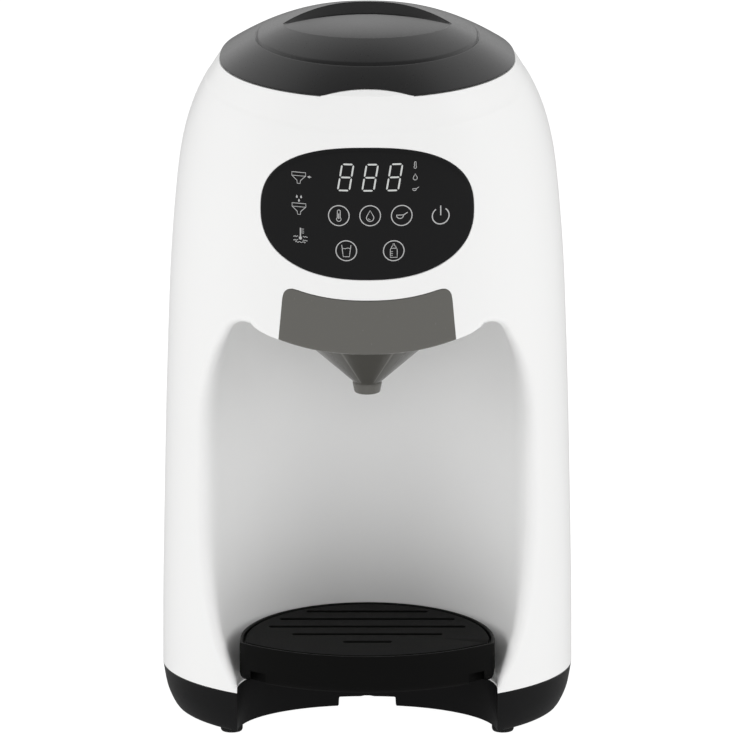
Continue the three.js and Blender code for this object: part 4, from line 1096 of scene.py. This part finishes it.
def tray_ring(e, z, frac=1.0):
    if e not in tray_r:
        tray_r[e] = rays(fillet(tray_outline(e), max(0.4, 1.0 - e * 0.1), 20, 6), tc, ta)
    r = tray_r[e] * frac
    return np.stack([tc[0] + r * np.cos(ta), tc[1] + r * np.sin(ta), np.full(len(ta), float(z))], 1)


def tray_centre(z):
    return np.array([[tc[0], tc[1], z]])


tray = loft("drip_tray_body", [tray_centre(25.8), tray_ring(3, 25.8, 0.5), tray_ring(3.0, 25.8), tray_ring(1.8, 26.0), tray_ring(0.9, 26.7), tray_ring(0.3, 27.9), tray_ring(0, 29.4), tray_ring(0, 36), tray_ring(0, 41.8),
                   tray_ring(0.1, 42.2), tray_ring(0.35, 42.45), tray_ring(0.7, 42.5), tray_ring(1.15, 42.4), tray_ring(1.4, 42.1), tray_ring(1.5, 41.6), tray_ring(1.5, 40.1), tray_ring(5.0, 40.1),
                   tray_ring(5.3, 39.7), tray_ring(5.6, 31), tray_ring(6.4, 29.2), tray_ring(8.0, 28.6), tray_ring(8.0, 28.6, 0.5), tray_centre(28.6)])
for sx in (-1, 1):
    hook = block("hook", min(sx * 43.5, sx * 50), max(sx * 43.5, sx * 50), -70, -30, 20, 31)
    cut(hook, flat_prism("in", tray_outline(4), 10, 50))
    cut(tray, hook)
finish_piece(tray, "tray", ["drip_tray"], "tray_plastic")
cover = loft("tray_cover", [tray_centre(40.4), tray_ring(2.7, 40.4, 0.5), tray_ring(2.7, 40.4), tray_ring(2.4, 40.7), tray_ring(2.4, 41.8), tray_ring(2.55, 42.1), tray_ring(2.9, 42.3), tray_ring(2.9, 42.3, 0.5), tray_centre(42.3)])
for y, L in ((-40, 9.3), (-29, 31), (-18, 41), (-7, 36.5), (4, 25)):
    def pill(g):
        a = arc(L, y, 1.1 + g, -90, 90, 13)
        return np.vstack([a, arc(-L, y, 1.1 + g, 90, 270, 13)])
    rings = [np.column_stack([pill(g), np.full(26, z)]) for g, z in ((0.35, 39), (0.0, 40.8), (0.0, 41.95), (0.6, 42.6))]
    cut(cover, loft("slot", rings))
finish_piece(cover, "grille", ["drip_grille"], "tray_plastic", material=MATS["tray_cover"])

# ---------------------------------------------------------------- water tank and its lid
y0 = Y_DOCK + 0.4
tank = body_solid("tank", Z_JOINT + 0.4, TANK_TOP, 0, 320, soft0=0.8, soft1=0.3)
keep(tank, block("behind", -100, 100, y0, 130, 0, 300))
hollow = body_solid("hollow", 25.2, TANK_TOP + 3, WALL, 320, soft0=2.0)
keep(hollow, block("b", -100, 100, y0 + WALL, 130, 24, 300))
cut(tank, hollow)
add(tank, rod("spigot", 6, 13.4, 25.3, 0, 88))
cage = tube_ring("cage", [(2.9, 40), (7.4, 40), (7.4, 42), (2.9, 42)], 48, 0, 88, 0.2)
add(tank, cage, block("leg", -7.4, -5.9, 86.5, 89.5, 25, 41), block("leg", 5.9, 7.4, 86.5, 89.5, 25, 41))
cut(tank, rod("bore", 4, 12, 26, 0, 88))
finish_piece(tank, "tank", ["water_tank"], "tank_plastic")

# the valve's return spring, up against the cage
turns, wire, mean = 3.0, 0.55, 3.8
low, high = 28.3, 39.25
coil = []
for t in np.linspace(0, turns * 2 * math.pi, 109):
    out_way = np.array([math.cos(t), math.sin(t), 0.0])
    along = np.array([-mean * math.sin(t), mean * math.cos(t), (high - low) / (turns * 2 * math.pi)])
    along /= np.linalg.norm(along)
    side = np.cross(out_way, along)
    middle = np.array([0, 88, low + (high - low) * t / (turns * 2 * math.pi)]) + mean * out_way
    coil.append([middle + wire * (math.cos(a) * out_way + math.sin(a) * side) for a in np.arange(12) * math.pi / 6])
spring = finish_piece(loft("return_spring", coil), "tank", ["valve_spring"], "steel", sharp=50)
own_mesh(spring)

hood = body_solid("tank_cover", TANK_TOP + GAP, Z_TOP - 0.6, 0, 320, soft0=0.3)
keep(hood, block("behind", -100, 100, y0, 130, 0, 288))
hollow = body_solid("hollow", TANK_TOP - 4, 286, WALL, 320)
keep(hollow, block("b", -100, 100, y0 + WALL, 130, 0, 272))
cut(hood, hollow)
grip = block("grip", -22, 22, 98, 130, 224, 233)
inside = body_solid("in", 209, 241, 1.4, 320)
cut(grip, inside)
cut(hood, grip)
finish_piece(hood, "tank_lid", ["tank_lid"], "white_housing")

# ---------------------------------------------------------------- powder hopper, seen when it is lifted out
hopper = lathe("hopper_cup", [(0, 236), (50, 236, 1.6), (50, 283.8, 0.3), (55.6, 283.8, 0.3), (55.6, 286.2, 0.5), (48, 286.2, 0.5), (48, 238.5, 1.2), (0, 238.5)], 144, 0, HOLE_Y)
cut(hopper, rod("outlet", 7.5, 230, 242, 0, FUN_Y), rod("hub", 6.8, 230, 242, 0, HOLE_Y))
finish_piece(hopper, "hopper", ["powder_hopper"], "clear_plastic")

# ---------------------------------------------------------------- stage and light
floor_mesh = bpy.data.meshes.new("floor")
floor_mesh.from_pydata([(-14, -14, 0), (14, -14, 0), (14, 14, 0), (-14, 14, 0)], [], [(0, 1, 2, 3)])
floor = add_object("floor", floor_mesh)
fm = bpy.data.materials.new("floor")
fm.use_nodes = True
fb = fm.node_tree.nodes["Principled BSDF"]
fb.inputs["Base Color"].default_value = (0.16, 0.16, 0.16, 1)
fb.inputs["Roughness"].default_value = 1.0
fb.inputs["Specular IOR Level"].default_value = 0.0
fb.inputs["Emission Color"].default_value = (1, 1, 1, 1)
path = fm.node_tree.nodes.new("ShaderNodeLightPath")
glow = fm.node_tree.nodes.new("ShaderNodeMix")
glow.inputs["A"].default_value, glow.inputs["B"].default_value = 1.0, 0.14
fm.node_tree.links.new(path.outputs["Is Glossy Ray"], glow.inputs["Factor"])
fm.node_tree.links.new(glow.outputs["Result"], fb.inputs["Emission Strength"])
floor_mesh.materials.append(fm)

world = bpy.data.worlds.new("studio")
scene.world = world
world.use_nodes = True
wt = world.node_tree
bg = wt.nodes["Background"]
bg.inputs["Color"].default_value = (1, 1, 1, 1)
out = wt.nodes["World Output"]


def sky(value, *pairs, kind="LINEAR"):
    """A brightness that depends on one direction value."""
    r = wt.nodes.new("ShaderNodeValToRGB")
    r.color_ramp.interpolation = kind
    ramp = r.color_ramp
    ramp.elements[0].position, ramp.elements[1].position = pairs[0][0], pairs[-1][0]
    ramp.elements[0].color = (pairs[0][1],) * 3 + (1,)
    ramp.elements[1].color = (pairs[-1][1],) * 3 + (1,)
    for at, v in pairs[1:-1]:
        ramp.elements.new(at).color = (v, v, v, 1)
    m = wt.nodes.new("ShaderNodeMapRange")
    m.inputs["From Min"].default_value = -1.0
    wt.links.new(value, m.inputs["Value"])
    wt.links.new(m.outputs["Result"], r.inputs["Fac"])
    return r.outputs["Color"]


where = wt.nodes.new("ShaderNodeTexCoord")
axes = wt.nodes.new("ShaderNodeSeparateXYZ")
wt.links.new(where.outputs["Generated"], axes.inputs["Vector"])
# mirrored surroundings: a bright backdrop low behind and at the sides, darker above and behind the camera
up = sky(axes.outputs["Z"], (0.5, 0.8), (0.62, 1.15), (0.72, 0.95), (0.86, 0.85), (0.92, 0.7), (0.975, 0.22), kind="EASE")
deep = sky(axes.outputs["Y"], (0.0, 0.22), (0.3, 0.3), (0.5, 0.85), (0.65, 1.0), kind="EASE")
both = wt.nodes.new("ShaderNodeMix")
both.data_type, both.blend_type = "RGBA", "MULTIPLY"
both.inputs["Factor"].default_value = 1.0
wt.links.new(up, both.inputs["A"])
wt.links.new(deep, both.inputs["B"])
mirror = wt.nodes.new("ShaderNodeBackground")
wt.links.new(both.outputs["Result"], mirror.inputs["Color"])
mirror.inputs["Strength"].default_value = 1.0
ray = wt.nodes.new("ShaderNodeLightPath")
seen = wt.nodes.new("ShaderNodeMix")
seen.inputs["A"].default_value, seen.inputs["B"].default_value = 0.5, 1.0
wt.links.new(ray.outputs["Is Camera Ray"], seen.inputs["Factor"])
wt.links.new(seen.outputs["Result"], bg.inputs["Strength"])
pick = wt.nodes.new("ShaderNodeMixShader")
wt.links.new(ray.outputs["Is Glossy Ray"], pick.inputs["Fac"])
wt.links.new(bg.outputs["Background"], pick.inputs[1])
wt.links.new(mirror.outputs["Background"], pick.inputs[2])
wt.links.new(pick.outputs["Shader"], out.inputs["Surface"])


def softbox(name, where, target, w, h, power):
    l = bpy.data.lights.new(name, "AREA")
    l.shape, l.size, l.size_y, l.energy = "RECTANGLE", w, h, power
    o = bpy.data.objects.new(name, l)
    scene.collection.objects.link(o)
    o.location = where
    d = np.array(target, float) - np.array(where, float)
    yaw = math.atan2(d[1], d[0])
    pitch = math.atan2(d[2], math.hypot(d[0], d[1]))
    o.rotation_euler = (math.pi / 2 + pitch, 0, yaw - math.pi / 2)
    o.visible_glossy = False
    return o


softbox("left_box", (-2.7, -0.9, 1.2), (0, 0, 0.15), 1.4, 2.0, 23)
softbox("right_box", (2.7, -0.9, 1.2), (0, 0, 0.15), 1.4, 2.0, 23)
softbox("front_box", (0, -4.0, 2.2), (0, 0, 0.15), 2.2, 1.4, 19)
softbox("top_box", (0, 0.2, 3.0), (0, 0, 0.1), 2.6, 1.8, 14)
